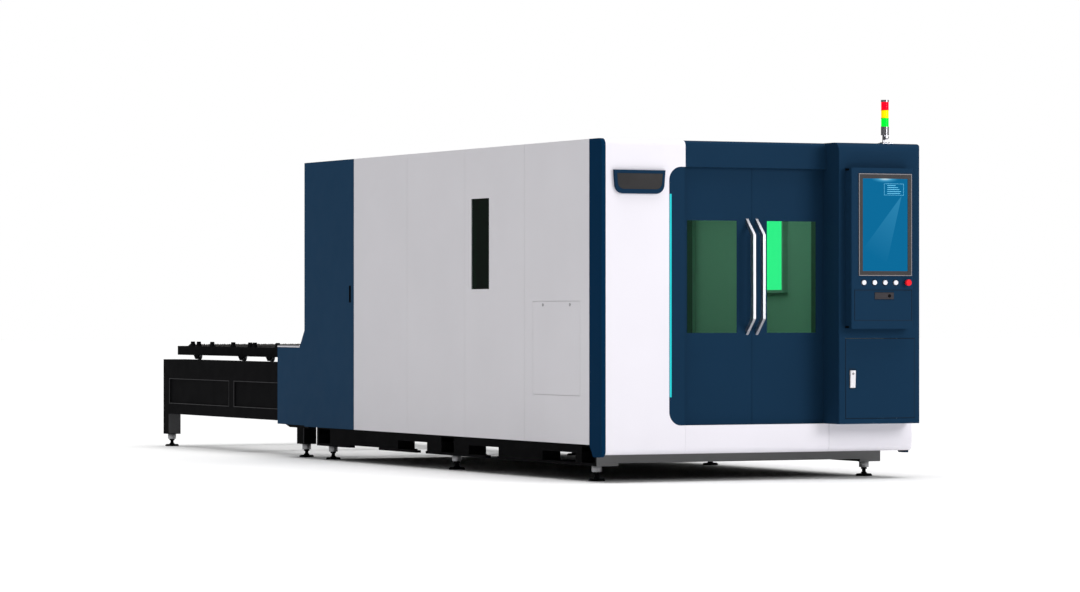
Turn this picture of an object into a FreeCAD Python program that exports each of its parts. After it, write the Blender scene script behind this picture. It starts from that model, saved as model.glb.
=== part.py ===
"""Fiber laser cutting machine: enclosed bed and gantry, front doors, operator console, and a
two-level pallet exchange table behind.  One STEP file per piece, millimetres, +Z up.

While building, x is measured from the machine's middle, y from the front panel's face towards the
rear, and z from the floor.  Everything moves to the middle of the footprint as it is written out.
"""
import FreeCAD, Part
import math
import os

os.makedirs("parts", exist_ok=True)
V = FreeCAD.Vector

# ---- overall sizes ---------------------------------------------------------------------------
HALF_W = 1150.0            # enclosure half width
ENC_Y = 4950.0             # enclosure length, front panel face to rear wall
PANEL_Z0 = 242.0           # side panels' lower edge
PANEL_Z1 = 2210.0          # side panels' upper edge
PAL_LEN = 3240.0           # pallet length
FRONT_Z0 = 180.0           # front panels' lower edge
FRONT_Z1 = PANEL_Z1 - 5    # front panels' upper edge
SHEET = 3.0                # cover sheet thickness
FRONT_D = 42.0             # depth of the folded front panels
SIDE_D = 40.0              # depth of the folded side panels
POST = 60.0                # cabin post section
GAP = 2.0                  # joint between neighbouring covers
PAL_Y0 = ENC_Y + 50        # pallet's end next to the rear wall
TOOL_Y1 = PAL_Y0 + PAL_LEN + 11      # far end of the exchange table

# ---- bed -------------------------------------------------------------------------------------
POST_OUT = HALF_W - SIDE_D           # cabin posts, outer and inner face
POST_IN = POST_OUT - POST
BEAM_W = 132.0             # bed side beam
BEAM_OUT, BEAM_IN = POST_IN, POST_IN - BEAM_W
BEAM_Y0, BEAM_T = 255.0, 26.0        # front beam's face and thickness
BEAM_Y1 = ENC_Y - 70       # end of the bed walls
LIP_Z, LIP_T = 100.0, 18.0           # lowest plate of the underframe
BEAM_Z0 = LIP_Z + LIP_T    # underside of the underframe boxes
FORK_Z1 = BEAM_Z0 + 61     # top of the fork pockets
CAVITY_Z1 = FORK_Z1 + 46   # top of the levelling-foot bays
BEAM_Z1 = CAVITY_Z1 + 75   # top of the underframe beams
TOP_RAIL = 120.0           # depth of the bed wall's top member
FLOOR_T = 4.0
FORKS = ((580.0, 1074.0), (1759.0, 2239.0), (2941.0, 3446.0))
CAVITIES = ((BEAM_Y0 + BEAM_T, 490.0), (2487.0, 2697.0), (ENC_Y - 255, ENC_Y - 40))
LIP_GAPS = ((1781.0, 1964.0), (2964.0, 3134.0), (ENC_Y - 1160, ENC_Y - 632))
LIP_EDGE = 40.0            # outer strip of the lip, where the gaps are short
BED_FEET = (370.0, 2545.0, ENC_Y - 200)
BED_POSTS = (BEAM_Y0 + BEAM_T, 1400.0, 2540.0, 3700.0, BEAM_Y1 - 80)     # 80 wide
FOOT_X = BEAM_OUT - 50     # bed feet, from the middle
PAD_R, STUD_R, BOSS_R, BOSS_Z0 = 55.0, 13.0, 32.0, 60.0    # levelling foot
NUT_R, NUT_H = 23.0, 13.0
WEB = 4.0                  # inner web on the bed wall
SILL_Z0 = BEAM_Z1 - 50     # underside of the cabin's sills
REAR_T = 4.0               # rear wall sheet

# ---- pallets and their rails -----------------------------------------------------------------
RAIL_OUT = BEAM_IN - WEB
RAIL_IN, RAIL_T = RAIL_OUT - 64, 16.0
EX_Z0, EX_Z1 = 267.0, 711.0          # exchange table's side frames
LEVEL = 181.0              # drop from the upper level to the lower one
PAL_TRAVEL = 4150.0        # exchange stroke
PAL_HALF = RAIL_OUT - 4    # pallet half width
PAL_T = 8.0                # pallet side plate
WHEEL_R, WHEEL_W = 36.0, 24.0
WHEEL_X = PAL_HALF - PAL_T - 10 - WHEEL_W
WHEEL_Z = EX_Z1 + WHEEL_R
WHEELS = (PAL_Y0 + 281, PAL_Y0 + 1259, PAL_Y0 + 1844, PAL_Y0 + 2821)
PIN_R, RUN = 10.0, 0.4     # wheel pin, running clearance on radius
PAL_Z0 = WHEEL_Z
PAL_Z1 = PAL_Z0 + WHEEL_R + 37       # the slat ledge clears the wheels
SLAT_ROOT, SLAT_TOP, SLAT_Z0 = PAL_Z1, PAL_Z1 + 18, PAL_Z1 - 28
LEDGE_T = 6.0              # ledge under the slats
LEDGE_IN = PAL_HALF - 90   # ledge's inner edge
BLOCKS = (1097.0, 1573.0, 1671.0, 2034.0, 2493.0, 2792.0, 2926.0)   # clamp blocks, from the pallet's end
BLOCK_HALF = 27.0
BLOCK_Z1 = PAL_Z1 + 38
WALL_Z1 = BLOCK_Z1 + 22    # top of the bed walls
SLAT_PITCH, SLAT_T, TOOTH = 108.0, 5.0, 60.0

# ---- cabin -----------------------------------------------------------------------------------
TRACK_Y1 = 130.0           # rear edge of the door tracks
SEAMS = (178.0, 1142.0, 2088.0, 3060.0, ENC_Y - 936)        # joints along the side panels
POSTS_Y = (TRACK_Y1,) + tuple(y - POST / 2 for y in SEAMS[1:]) + (ENC_Y - REAR_T - POST,)
ROOF_Z0 = PANEL_Z1 - 80    # roof frame
ROOF_Z1 = ROOF_Z0 + POST
TRIM_W = 29.0              # front width of the corner covers
SLOT_Z0, SLOT_Z1 = EX_Z1 - LEVEL - 30, BLOCK_Z1 + 77        # pallet opening in the rear wall
SLOT_HALF = PAL_HALF + 40
SHELF_Z = SLOT_Z1 + 11     # shelf of the rear bay
HATCH_Y0, HATCH_Y1, HATCH_Z0, HATCH_Z1 = 312.0, 1015.0, 555.0, 1166.0
SIDEWIN_Y0, SIDEWIN_Y1, SIDEWIN_Z0, SIDEWIN_Z1 = 1697.0, 1985.0, 1252.0, 1868.0
PULL_Y0, PULL_Z0 = SEAMS[4] + 56, 1169.0                    # sunk pull, rear doors
PULL_Y1, PULL_Z1 = PULL_Y0 + 28, PULL_Z0 + 118
LIFT_Y0, LIFT_T = ENC_Y - 45, 20.0                          # lift door
LIFT_Y1 = LIFT_Y0 + LIFT_T
LIFT_HALF, LIFT_H = SLOT_HALF + 5, SLOT_Z1 - SLOT_Z0 - 5
FAIR_Y1, FAIR_Z0, FAIR_Z1 = ENC_Y + 543, 250.0, PAL_Z1 + 24  # rear fairings

# ---- exchange table --------------------------------------------------------------------------
EX_IN = RAIL_OUT + 16
EX_OUT = EX_IN + 100
EX_Y0 = ENC_Y + 110
EX_LOW, EX_HIGH = 85.0, 154.0        # depth of the lower and the upper side member
EX_POSTS = ((ENC_Y + 277, ENC_Y + 410), (ENC_Y + 1740, ENC_Y + 1838), (TOOL_Y1 - 133, TOOL_Y1))
EX_LEGS = ((ENC_Y + 303, ENC_Y + 435), (TOOL_Y1 - 120, TOOL_Y1))
EX_TIES = (ENC_Y + 300, ENC_Y + 1749, TOOL_Y1 - 101)       # cross members, 80 wide
EX_LEG_IN = EX_IN - 4

# ---- gantry ----------------------------------------------------------------------------------
GUIDE_X, GUIDE_W, GUIDE_Z1 = BEAM_OUT - 55, 34.0, WALL_Z1 + 25
GUIDE_Y1 = POSTS_Y[4] - 4
GANTRY_Y0 = POSTS_Y[4] - 384
GANTRY_Y1 = GANTRY_Y0 + 200
GANTRY_Z0 = GUIDE_Z1 + 55
GANTRY_Z1 = GANTRY_Z0 + 200
GANTRY_X = BEAM_OUT - 50   # end of the gantry tube
X_RAIL_T = 12.0            # head rails on the gantry

# ---- doors, console --------------------------------------------------------------------------
DOOR_Y0, DOOR_Y1 = 45.0, 85.0
DOOR_Z0, DOOR_Z1 = 364.0, PANEL_Z1 - 150
DOOR_SEAM, DOOR_W, DOOR_GAP = -32.0, 547.0, 1.0
WIN_Z0, WIN_Z1, WIN_W, WIN_OFF = 961.0, 1690.0, 366.0, 112.0
HEAD_Z0 = DOOR_Z1 - 26     # header's lower edge
HANDLE_OFF, HANDLE_W = 27.0, 18.0    # door handle, from the seam, and its width
OPEN_X0 = DOOR_SEAM - DOOR_GAP - DOOR_W + 36                # header span
OPEN_X1 = DOOR_SEAM + DOOR_GAP + DOOR_W - 18
RECESS_X0 = OPEN_X0 - 119  # left end of the doorway's recess
LED_X0, LED_W, LED_Z0, LED_Z1 = RECESS_X0 + 3, 15.0, DOOR_Z0 + 183, DOOR_Z1 - 202
PLATE_X0, PLATE_W, PLATE_H = 81 - HALF_W, 368.0, 152.0      # nameplate, upper edge
PLATE_Z1 = FRONT_Z1 - 197
PIL_X0, PIL_X1 = OPEN_X1, HALF_W - TRIM_W - 1               # console pillar
PIL_Y0 = -170.0            # pillar's face
CON_D = 82.0               # housing's reach from the pillar
CON_X0, CON_X1 = PIL_X0 + 46, PIL_X0 + 512                  # console housing
CON_Y0 = PIL_Y0 - CON_D    # housing's face
CON_Z0, CON_Z1 = 987.0, 2038.0
STOP_OUT = 35.0            # emergency stop's reach from the housing
CAB_X0, CAB_X1, CAB_Z0, CAB_Z1, CAB_T = PIL_X0 + 49, PIL_X1 - 48, 400.0, 923.0, 20.0
CAB_LATCH = (CAB_X0 + 32, CAB_X0 + 69, 601.0, 715.0)        # x and z limits
FLAP_X0, FLAP_X1, FLAP_T = CON_X0 + 24, CON_X1 - 10, 15.0
FLAP_Z0, FLAP_Z1 = CON_Z0 + 53, CON_Z0 + 253
LATCH_X0, LATCH_X1 = FLAP_X0 + 152, FLAP_X0 + 294
LATCH_Z0, LATCH_Z1 = FLAP_Z1 - 60, FLAP_Z1 - 16
BUTTON_Z, BUTTON_R = FLAP_Z1 + 49, 15.0
BUTTONS_X = (CON_X0 + 92, CON_X0 + 172, CON_X0 + 252, CON_X0 + 332)
STOP_X, STOP_R = CON_X0 + 415, 20.0
SCR = (CON_X0 + 54, CON_X0 + 454, FLAP_Z1 + 93, FLAP_Z1 + 761)       # bezel, x and z limits
DISP = (SCR[0] + 29, SCR[1] - 30, SCR[2] + 31, SCR[3] - 32)          # lit area, x and z limits

# ---- signal tower ----------------------------------------------------------------------------
TOWER_X, TOWER_Y, TOWER_R = 910.0, -60.0, 26.0
FOLD_Z = FRONT_Z1 + 41     # hinge of the folding foot
TIERS = tuple(FOLD_Z + z for z in (16.0, 72.0, 129.0, 181.0, 235.0, 249.0))   # body, lenses, cap

Y_MID = (CON_Y0 - STOP_OUT + TOOL_Y1) / 2


# ---- helpers ---------------------------------------------------------------------------------
def box(x0, x1, y0, y1, z0, z1):
    return Part.makeBox(x1 - x0, y1 - y0, z1 - z0, V(x0, y0, z0))


def tube(x0, x1, y0, y1, z0, z1, wall, along):
    """Rectangular hollow section, open at both ends."""
    w = [wall, wall, wall]
    w["xyz".index(along)] = -1.0
    core = box(x0 + w[0], x1 - w[0], y0 + w[1], y1 - w[1], z0 + w[2], z1 - w[2])
    return box(x0, x1, y0, y1, z0, z1).cut(core)


def rod(radius, length, at, along):
    return Part.makeCylinder(radius, length, V(*at), V(*along))


def outline(points, place):
    """Closed face through (u, v) or (u, v, corner radius) points."""
    ends, n = [], len(points)
    for i, q in enumerate(points):
        if len(q) < 3 or q[2] == 0:
            ends.append((q[:2], None, q[:2]))
            continue
        p, s, r = points[i - 1], points[(i + 1) % n], q[2]
        a, b = (p[0] - q[0], p[1] - q[1]), (s[0] - q[0], s[1] - q[1])
        la, lb = math.hypot(*a), math.hypot(*b)
        a, b = (a[0] / la, a[1] / la), (b[0] / lb, b[1] / lb)
        half = math.acos(a[0] * b[0] + a[1] * b[1]) / 2
        t, d = r / math.tan(half), r / math.sin(half) - r
        m = math.hypot(a[0] + b[0], a[1] + b[1])
        mid = (q[0] + (a[0] + b[0]) / m * d, q[1] + (a[1] + b[1]) / m * d)
        ends.append(((q[0] + a[0] * t, q[1] + a[1] * t), mid, (q[0] + b[0] * t, q[1] + b[1] * t)))
    edges = []
    for i, (start, mid, stop) in enumerate(ends):
        if mid:
            edges.append(Part.Arc(place(start), place(mid), place(stop)).toShape())
        after = ends[(i + 1) % n][0]
        if math.hypot(after[0] - stop[0], after[1] - stop[1]) > 1e-6:
            edges.append(Part.makeLine(place(stop), place(after)))
    return Part.Face(Part.Wire(edges))


def prism(points, along, lo, hi):
    """Outline in the plane across an axis, carried from lo to hi on that axis."""
    place = {"x": lambda p: V(lo, p[0], p[1]),
             "y": lambda p: V(p[0], lo, p[1]),
             "z": lambda p: V(p[0], p[1], lo)}[along]
    step = V(*[(hi - lo) * (a == along) for a in "xyz"])
    return outline(points, place).extrude(step)


def mirrored(shape):
    return shape.mirror(V(0, 0, 0), V(1, 0, 0))


def pair(shapes):
    """Left-hand pieces (negative x) with their right-hand copies."""
    return list(shapes) + [mirrored(s) for s in shapes]


def moved(shapes, dx, dy, dz):
    return [s.translated(V(dx, dy, dz)) for s in shapes]


def tray(x0, x1, y0, y1, z0, z1, open_side, t=SHEET):
    """Folded sheet cover: a box of sheet with one face left off."""
    c = [x0 + t, x1 - t, y0 + t, y1 - t, z0 + t, z1 - t]
    k = {"-x": 0, "+x": 1, "-y": 2, "+y": 3, "-z": 4, "+z": 5}[open_side]
    c[k] += (-2 * t, 2 * t)[k % 2]
    return box(x0, x1, y0, y1, z0, z1).cut(box(*c))


def export(name, shapes):
    shapes = shapes if isinstance(shapes, (list, tuple)) else [shapes]
    solids = [s for shape in shapes for s in shape.Solids]
    out = solids[0] if len(solids) == 1 else Part.makeCompound(solids)
    out.translated(V(0, -Y_MID, 0)).exportStep("parts/%s.step" % name)


# ---- underframe and bed ----------------------------------------------------------------------
def spans(y0, y1, gaps):
    """What is left of y0..y1 between the gaps."""
    left, start = [], y0
    for a, b in sorted(gaps):
        if a > start:
            left.append((start, a))
        start = max(start, b)
    if start < y1:
        left.append((start, y1))
    return left


def bed_frame():
    xi, xo = -BEAM_OUT, -BEAM_IN
    end = ENC_Y - REAR_T
    start, top = BEAM_Y0 + BEAM_T, WALL_Z1 - TOP_RAIL
    side = [tube(xi, xo, start, end, CAVITY_Z1, BEAM_Z1, 8, "y")]
    for a, b in spans(start, end, CAVITIES):
        side.append(tube(xi, xo, a, b, FORK_Z1, CAVITY_Z1, 8, "y"))
    for a, b in spans(start, end, LIP_GAPS):
        side.append(box(xi, xi + LIP_EDGE, a, b, LIP_Z, BEAM_Z0))
    for a, b in spans(start, end, [(a, b + 2 * BEAM_W) for a, b in LIP_GAPS]):
        side.append(box(xi + LIP_EDGE, xo, a, b, LIP_Z, BEAM_Z0))
    for z0, z1 in ((FORK_Z1, CAVITY_Z1), (CAVITY_Z1, BEAM_Z1)):
        side.append(box(xi + 8, xo - 8, end - 8, end, z0 + 8, z1 - 8))
    for a, b in CAVITIES:
        side.append(box(xo - 8, xo, a, b, BEAM_Z0, CAVITY_Z1))
    for a, b in spans(start, end, CAVITIES + FORKS):
        side.append(tube(xi, xo, a, b, BEAM_Z0, FORK_Z1, 8, "z"))
    side.append(tube(xi, xo, start, BEAM_Y1, top, WALL_Z1, 10, "y"))
    for y in BED_POSTS:
        side.append(tube(xi, xo, y, y + 80, BEAM_Z1, top, 8, "z"))
    side.append(box(xo, xo + WEB, start, BEAM_Y1, BEAM_Z1 + FLOOR_T, WALL_Z1 - 40))
    front = [box(xi - 9, 9 - xi, BEAM_Y0, start, BEAM_Z0, SILL_Z0),
             box(xi, -xi, BEAM_Y0, start, SILL_Z0, BEAM_Z1)]
    front += pair([box(xi - 9, xo + 16, BEAM_Y0, start, LIP_Z, BEAM_Z0)])
    cross = [tube(xo, -xo, y, y + 80, CAVITY_Z1, BEAM_Z1, 6, "x") for y in BED_POSTS[1:]]
    floor = [box(xo, -xo, start, BEAM_Y1, BEAM_Z1, BEAM_Z1 + FLOOR_T)]
    return pair(side) + front + cross + floor


def levelling_feet():
    """Pad, stud, lock nut and threaded boss, at every bed foot and table leg."""
    spots = [(FOOT_X, y) for y in BED_FEET]
    spots += [((EX_LEG_IN + EX_OUT) / 2, (a + b) / 2) for a, b in EX_LEGS]
    out = []
    for x, y in spots:
        pad = rod(PAD_R, 9, (-x, y, 0), (0, 0, 1))
        pad = pad.fuse(Part.makeCone(PAD_R, PAD_R - 8, 7, V(-x, y, 9)))
        pad = pad.fuse(Part.makeCone(24, STUD_R, 14, V(-x, y, 16)))
        stud = rod(STUD_R, LIP_Z - 20, (-x, y, 20), (0, 0, 1))
        turns = [math.radians(60 * k) for k in range(6)]
        corners = [(-x + NUT_R * math.cos(t), y + NUT_R * math.sin(t)) for t in turns]
        nut = prism(corners, "z", BOSS_Z0 - NUT_H, BOSS_Z0)
        boss = rod(BOSS_R, LIP_Z - BOSS_Z0, (-x, y, BOSS_Z0), (0, 0, 1))
        out.append(pad.fuse(stud).fuse(nut).fuse(boss).removeSplitter())
    return pair(out)


def guide_rails():
    """Gantry guides on the bed walls, and two levels of pallet rail through bed and table."""
    start, end = 300.0, TOOL_Y1 - 21
    out = [box(-GUIDE_X - GUIDE_W / 2, -GUIDE_X + GUIDE_W / 2, start, GUIDE_Y1, WALL_Z1, GUIDE_Z1)]
    for top in (EX_Z1, EX_Z1 - LEVEL):
        out.append(box(-RAIL_OUT, -RAIL_IN, start, BEAM_Y1, top - RAIL_T, top))
        out.append(box(-RAIL_OUT, -RAIL_IN, ENC_Y + 4, end, top - RAIL_T, top))
        for a, b in EX_POSTS:
            out.append(box(-EX_IN, -RAIL_OUT, a + 20, min(b - 20, end), top - RAIL_T, top))
    return pair(out)


# ---- cabin -----------------------------------------------------------------------------------
def cabin_frame():
    side = [tube(-POST_OUT, -POST_IN, y, y + POST, BEAM_Z1, ROOF_Z0, 4, "z") for y in POSTS_Y]
    for z0, z1 in ((SILL_Z0, BEAM_Z1), (ROOF_Z0, ROOF_Z1)):
        side.append(tube(-POST_OUT, -POST_IN, POSTS_Y[0], ENC_Y - REAR_T, z0, z1, 4, "y"))
    cross = [tube(-POST_IN, POST_IN, y, y + POST, ROOF_Z0, ROOF_Z1, 4, "x") for y in POSTS_Y]
    cross.append(tube(-POST_IN, POST_IN, POSTS_Y[0], POSTS_Y[0] + POST, BEAM_Z1, DOOR_Z0, 4, "x"))
    low, high = SHELF_Z - 56, SHELF_Z - 6
    cross += [tube(-POST_IN, POST_IN, y, y + POST, low, high, 4, "x") for y in (POSTS_Y[4], ENC_Y - 140)]
    shelf = [box(-POST_IN, POST_IN, SEAMS[4] + 16, ENC_Y - 80, high, SHELF_Z)]
    baffle = [box(-POST_IN, POST_IN, SEAMS[4] + 10, SEAMS[4] + 14, high, ROOF_Z0)]
    return pair(side) + cross + shelf + baffle


def side_panels(sign):
    """Four folded panels; the second has the window, the first the hatch."""
    x0, x1 = -HALF_W, -HALF_W + SIDE_D
    out = []
    for i in range(4):
        a, b = SEAMS[i] + GAP / 2, SEAMS[i + 1] - GAP / 2
        panel = tray(x0, x1, a, b, PANEL_Z0, PANEL_Z1, "+x")
        if i == 0:
            panel = panel.cut(box(x0 - 1, x0 + 9, HATCH_Y0 - 2, HATCH_Y1 + 2, HATCH_Z0 - 2, HATCH_Z1 + 2))
            ring = box(x0 + SHEET, x1, HATCH_Y0 - 20, HATCH_Y1 + 20, HATCH_Z0 - 20, HATCH_Z1 + 20)
            ring = ring.cut(box(x0, x1 + 1, HATCH_Y0 + 25, HATCH_Y1 - 25, HATCH_Z0 + 25, HATCH_Z1 - 25))
            ring = ring.cut(box(x0, x0 + 25, HATCH_Y0 - 2, HATCH_Y1 + 2, HATCH_Z0 - 2, HATCH_Z1 + 2))
            out.append(ring)
        if i == 1:
            panel = panel.cut(box(x0 - 1, x0 + 9, SIDEWIN_Y0, SIDEWIN_Y1, SIDEWIN_Z0, SIDEWIN_Z1))
            ring = box(x0 + SHEET, x1, SIDEWIN_Y0 - 20, SIDEWIN_Y1 + 20, SIDEWIN_Z0 - 20, SIDEWIN_Z1 + 20)
            ring = ring.cut(box(x0, x1 + 1, SIDEWIN_Y0, SIDEWIN_Y1, SIDEWIN_Z0, SIDEWIN_Z1))
            out.append(ring)
        out.append(panel)
    return out if sign < 0 else [mirrored(s) for s in out]


def service_hatches():
    hatch = tray(-HALF_W, -HALF_W + 25, HATCH_Y0, HATCH_Y1, HATCH_Z0, HATCH_Z1, "+x")
    for y in (HATCH_Y0 + 146, HATCH_Y1 - 155):
        hatch = hatch.fuse(rod(9, 2.5, (-HALF_W - 2.5, y, HATCH_Z1 - 23), (1, 0, 0)))
    return pair([hatch])


def side_glass():
    return pair([box(-HALF_W + 6, -HALF_W + 12, SIDEWIN_Y0, SIDEWIN_Y1, SIDEWIN_Z0, SIDEWIN_Z1)])


def corner_trims():
    """Corner covers, slanted off at the lower rear; the right one stands on the front skirt."""
    rear, low = SEAMS[0] - GAP / 2, 165.0
    shape = [(0, low, 45), (124, low), (rear, PANEL_Z0), (rear, PANEL_Z1), (0, PANEL_Z1, 45)]
    inner = [(5, low + 5, 40), (124, low + 5), (rear + 5, PANEL_Z0 + 5), (rear + 5, PANEL_Z1 - 5),
             (5, PANEL_Z1 - 5, 40)]
    trim = prism(shape, "x", -HALF_W, -HALF_W + TRIM_W)
    trim = trim.cut(prism(inner, "x", -HALF_W + 5, -HALF_W + TRIM_W + 1))
    right = mirrored(trim).cut(box(HALF_W - 150, HALF_W + 50, -10, FRONT_D, 0, DOOR_Z0 + 1))
    return [trim, right]


def front_shell(x0, x1, z0, z1, round_top, round_low, depth=FRONT_D, y0=0.0, t=SHEET):
    """Folded front cover with rounded upper and lower edges, open at the back."""
    def face(a, b, c, k):
        return [(a, b, (k if round_low else 0)), (depth, b), (depth, c), (a, c, (k if round_top else 0))]
    radius = 38.0
    outer = prism(face(y0, z0, z1, radius), "x", x0, x1)
    core = [(y0 + t, z0 + t, radius - t if round_low else 0), (depth + 1, z0 + t),
            (depth + 1, z1 - t), (y0 + t, z1 - t, radius - t if round_top else 0)]
    return outer.cut(prism(core, "x", x0 + t, x1 - t))


def recess(grow, y0, y1):
    """The doorway's recess at its left side, with rounded corners."""
    x0, x1 = RECESS_X0 - grow, 0.0
    z0, z1 = DOOR_Z0 - grow, HEAD_Z0 + grow
    return prism([(x0, z0, 88 + grow), (x1, z0), (x1, z1), (x0, z1, 88 + grow)], "y", y0, y1)


def front_left_panel():
    shell = front_shell(-HALF_W + TRIM_W, OPEN_X0, FRONT_Z0, FRONT_Z1, True, True)
    return shell.cut(recess(0, -1, FRONT_D + 1))


def door_jamb():
    """Recessed strip beside the left door, folded back along the doorway."""
    face = recess(-1, 0, SHEET).common(box(RECESS_X0 - 37, OPEN_X0 - 6, -1, 50, DOOR_Z0 - 64, DOOR_Z1 + 40))
    fold = box(OPEN_X0 - 9, OPEN_X0 - 6, 0, FRONT_D, DOOR_Z0 + 1, HEAD_Z0 - 1)
    jamb = face.fuse(fold).removeSplitter()
    return jamb.cut(box(LED_X0, LED_X0 + LED_W, -1, SHEET + 1, LED_Z0, LED_Z1))


def led_strip():
    return box(LED_X0, LED_X0 + LED_W, 0.5, 10, LED_Z0, LED_Z1)


def front_header():
    return front_shell(OPEN_X0, OPEN_X1, HEAD_Z0, FRONT_Z1, True, False)


def front_skirts():
    seam, end = OPEN_X1 + 22, HALF_W
    middle = front_shell(OPEN_X0 + 1, seam - 1, FRONT_Z0, DOOR_Z0, False, True)
    right = front_shell(seam + 1, end, FRONT_Z0, DOOR_Z0, False, True)
    return [middle, right]


def nameplate():
    """Bare plate, a little narrower at its lower edge."""
    x0, x1, top, low = PLATE_X0, PLATE_X0 + PLATE_W, PLATE_Z1, PLATE_Z1 - PLATE_H
    face = [(x0, top), (x0 + 12, low, 60), (x1 - 12, low, 60), (x1, top)]
    rim = prism(face, "y", -22, 0)
    well = [(x0 + 19, top - 21), (x0 + 27, low + 28, 40), (x1 - 27, low + 28, 40), (x1 - 19, top - 21)]
    return rim.cut(prism(well, "y", -23, -19))


def door_tracks():
    hung = DOOR_Z1 + 2
    low = box(-POST_OUT, POST_OUT, FRONT_D, TRACK_Y1, DOOR_Z0 - 54, DOOR_Z0)
    high = box(-POST_OUT, POST_OUT, FRONT_D, TRACK_Y1, hung, hung + 38)
    guide = box(-POST_OUT, POST_OUT, DOOR_Y1 + 1, DOOR_Y1 + 7, hung - 32, hung)
    return [low, high, guide]


def roof_panels():
    cuts = (FRONT_D,) + SEAMS[1:] + (ENC_Y - REAR_T,)
    half = POST_OUT - GAP
    return [box(-half, half, a + 1, b - 1, ROOF_Z1, ROOF_Z1 + SHEET) for a, b in zip(cuts, cuts[1:])]


def rear_wall():
    """Rear sheets round the pallet opening, corner posts, and the lift door's guides."""
    y0 = ENC_Y - REAR_T
    sheets = [box(-POST_OUT, POST_OUT, y0, ENC_Y, PANEL_Z0, SLOT_Z0),
              box(-POST_OUT, POST_OUT, y0, ENC_Y, SLOT_Z1, ROOF_Z1)]
    side = [box(-POST_OUT, -SLOT_HALF, y0, ENC_Y, SLOT_Z0, SLOT_Z1),
            tray(-HALF_W, -POST_OUT, LIFT_Y0 - 1, ENC_Y, PANEL_Z0, PANEL_Z1, "+x")]
    top = SLOT_Z1 + LIFT_H + 15
    web, lip = -LIFT_HALF - 5, -LIFT_HALF + 10
    guide = [box(web - 4, web, LIFT_Y0 - 5, LIFT_Y1 + 4, SLOT_Z0, top),
             box(web, lip, LIFT_Y1, LIFT_Y1 + 4, SLOT_Z0, top),
             box(web, lip, LIFT_Y0 - 5, LIFT_Y0 - 1, SLOT_Z0, top),
             box(web - 40, web, LIFT_Y1 + 4, y0, SLOT_Z0, top)]
    return sheets + pair(side + guide)


def lift_door():
    """Drops behind the rear wall to close the pallet opening."""
    z0 = SLOT_Z1 + 2
    return tray(-LIFT_HALF, LIFT_HALF, LIFT_Y0, LIFT_Y1, z0, z0 + LIFT_H, "-y")


def laser_source():
    """Laser and power cabinets on the shelf behind the baffle."""
    side, y0 = POST_IN - 50, SEAMS[4] + 66
    return [tray(-side, -120, y0, y0 + 700, SHELF_Z, SHELF_Z + 754, "-z"),
            tray(-80, side, y0, y0 + 700, SHELF_Z, SHELF_Z + 1004, "-z")]


def rear_fairings():
    """Side fairings from the rear wall to the table, slanted at the top front."""
    y0, y1, z0, z1, t = ENC_Y, FAIR_Y1, FAIR_Z0, FAIR_Z1, SHEET
    knee, peak = y0 + 100, z1 + 131
    x0, x1 = 5 - HALF_W, -EX_OUT - 2
    shape = [(y0, z0), (y1, z0), (y1, z1), (knee, z1), (y0, peak)]
    core = [(y0 + t, z0 + t), (y1 - t, z0 + t), (y1 - t, z1 - t), (knee + 2, z1 - t), (y0 + t, peak - 7)]
    shell = prism(shape, "x", x0, x1).cut(prism(core, "x", x0 + t, x1 + 1))
    return pair([shell])


# ---- sliding doors ---------------------------------------------------------------------------
def door_window(sign):
    near = DOOR_SEAM + sign * WIN_OFF
    return min(near, near + sign * WIN_W), max(near, near + sign * WIN_W)


def door(sign):
    near, far = DOOR_SEAM + sign * DOOR_GAP, DOOR_SEAM + sign * (DOOR_GAP + DOOR_W)
    x0, x1 = min(near, far), max(near, far)
    w0, w1 = door_window(sign)
    leaf = tray(x0, x1, DOOR_Y0, DOOR_Y1, DOOR_Z0, DOOR_Z1, "+y")
    ring = box(w0 - 28, w1 + 28, DOOR_Y0 + SHEET, DOOR_Y0 + 18, WIN_Z0 - 28, WIN_Z1 + 28)
    ring = ring.cut(box(w0 - 8, w1 + 8, DOOR_Y0, DOOR_Y1, WIN_Z0 - 8, WIN_Z1 + 8))
    return leaf.cut(box(w0, w1, DOOR_Y0 - 1, DOOR_Y0 + 9, WIN_Z0, WIN_Z1)).fuse(ring).removeSplitter()


def door_glass(sign):
    w0, w1 = door_window(sign)
    return box(w0 - 8, w1 + 8, DOOR_Y0 + SHEET, DOOR_Y0 + SHEET + 6, WIN_Z0 - 8, WIN_Z1 + 8)


def door_handle(sign):
    """Upright bar with ends that slant back to the door."""
    near = DOOR_SEAM + sign * HANDLE_OFF
    x0, x1 = min(near, near + sign * HANDLE_W), max(near, near + sign * HANDLE_W)
    out, back = -59.0, -24.0
    z = (947.0, 982.0, 1052.0, 1062.0, 1590.0, 1600.0, 1670.0, 1705.0)
    bar = [(out, z[2]), (back, z[3]), (back, z[4]), (out, z[5])]
    high = [(out, z[5]), (back, z[4]), (DOOR_Y0, z[6]), (DOOR_Y0, z[7])]
    low = [(out, z[2]), (DOOR_Y0, z[0]), (DOOR_Y0, z[1]), (back, z[3])]
    return [prism(p, "x", x0, x1) for p in (bar, high, low)]


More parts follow.
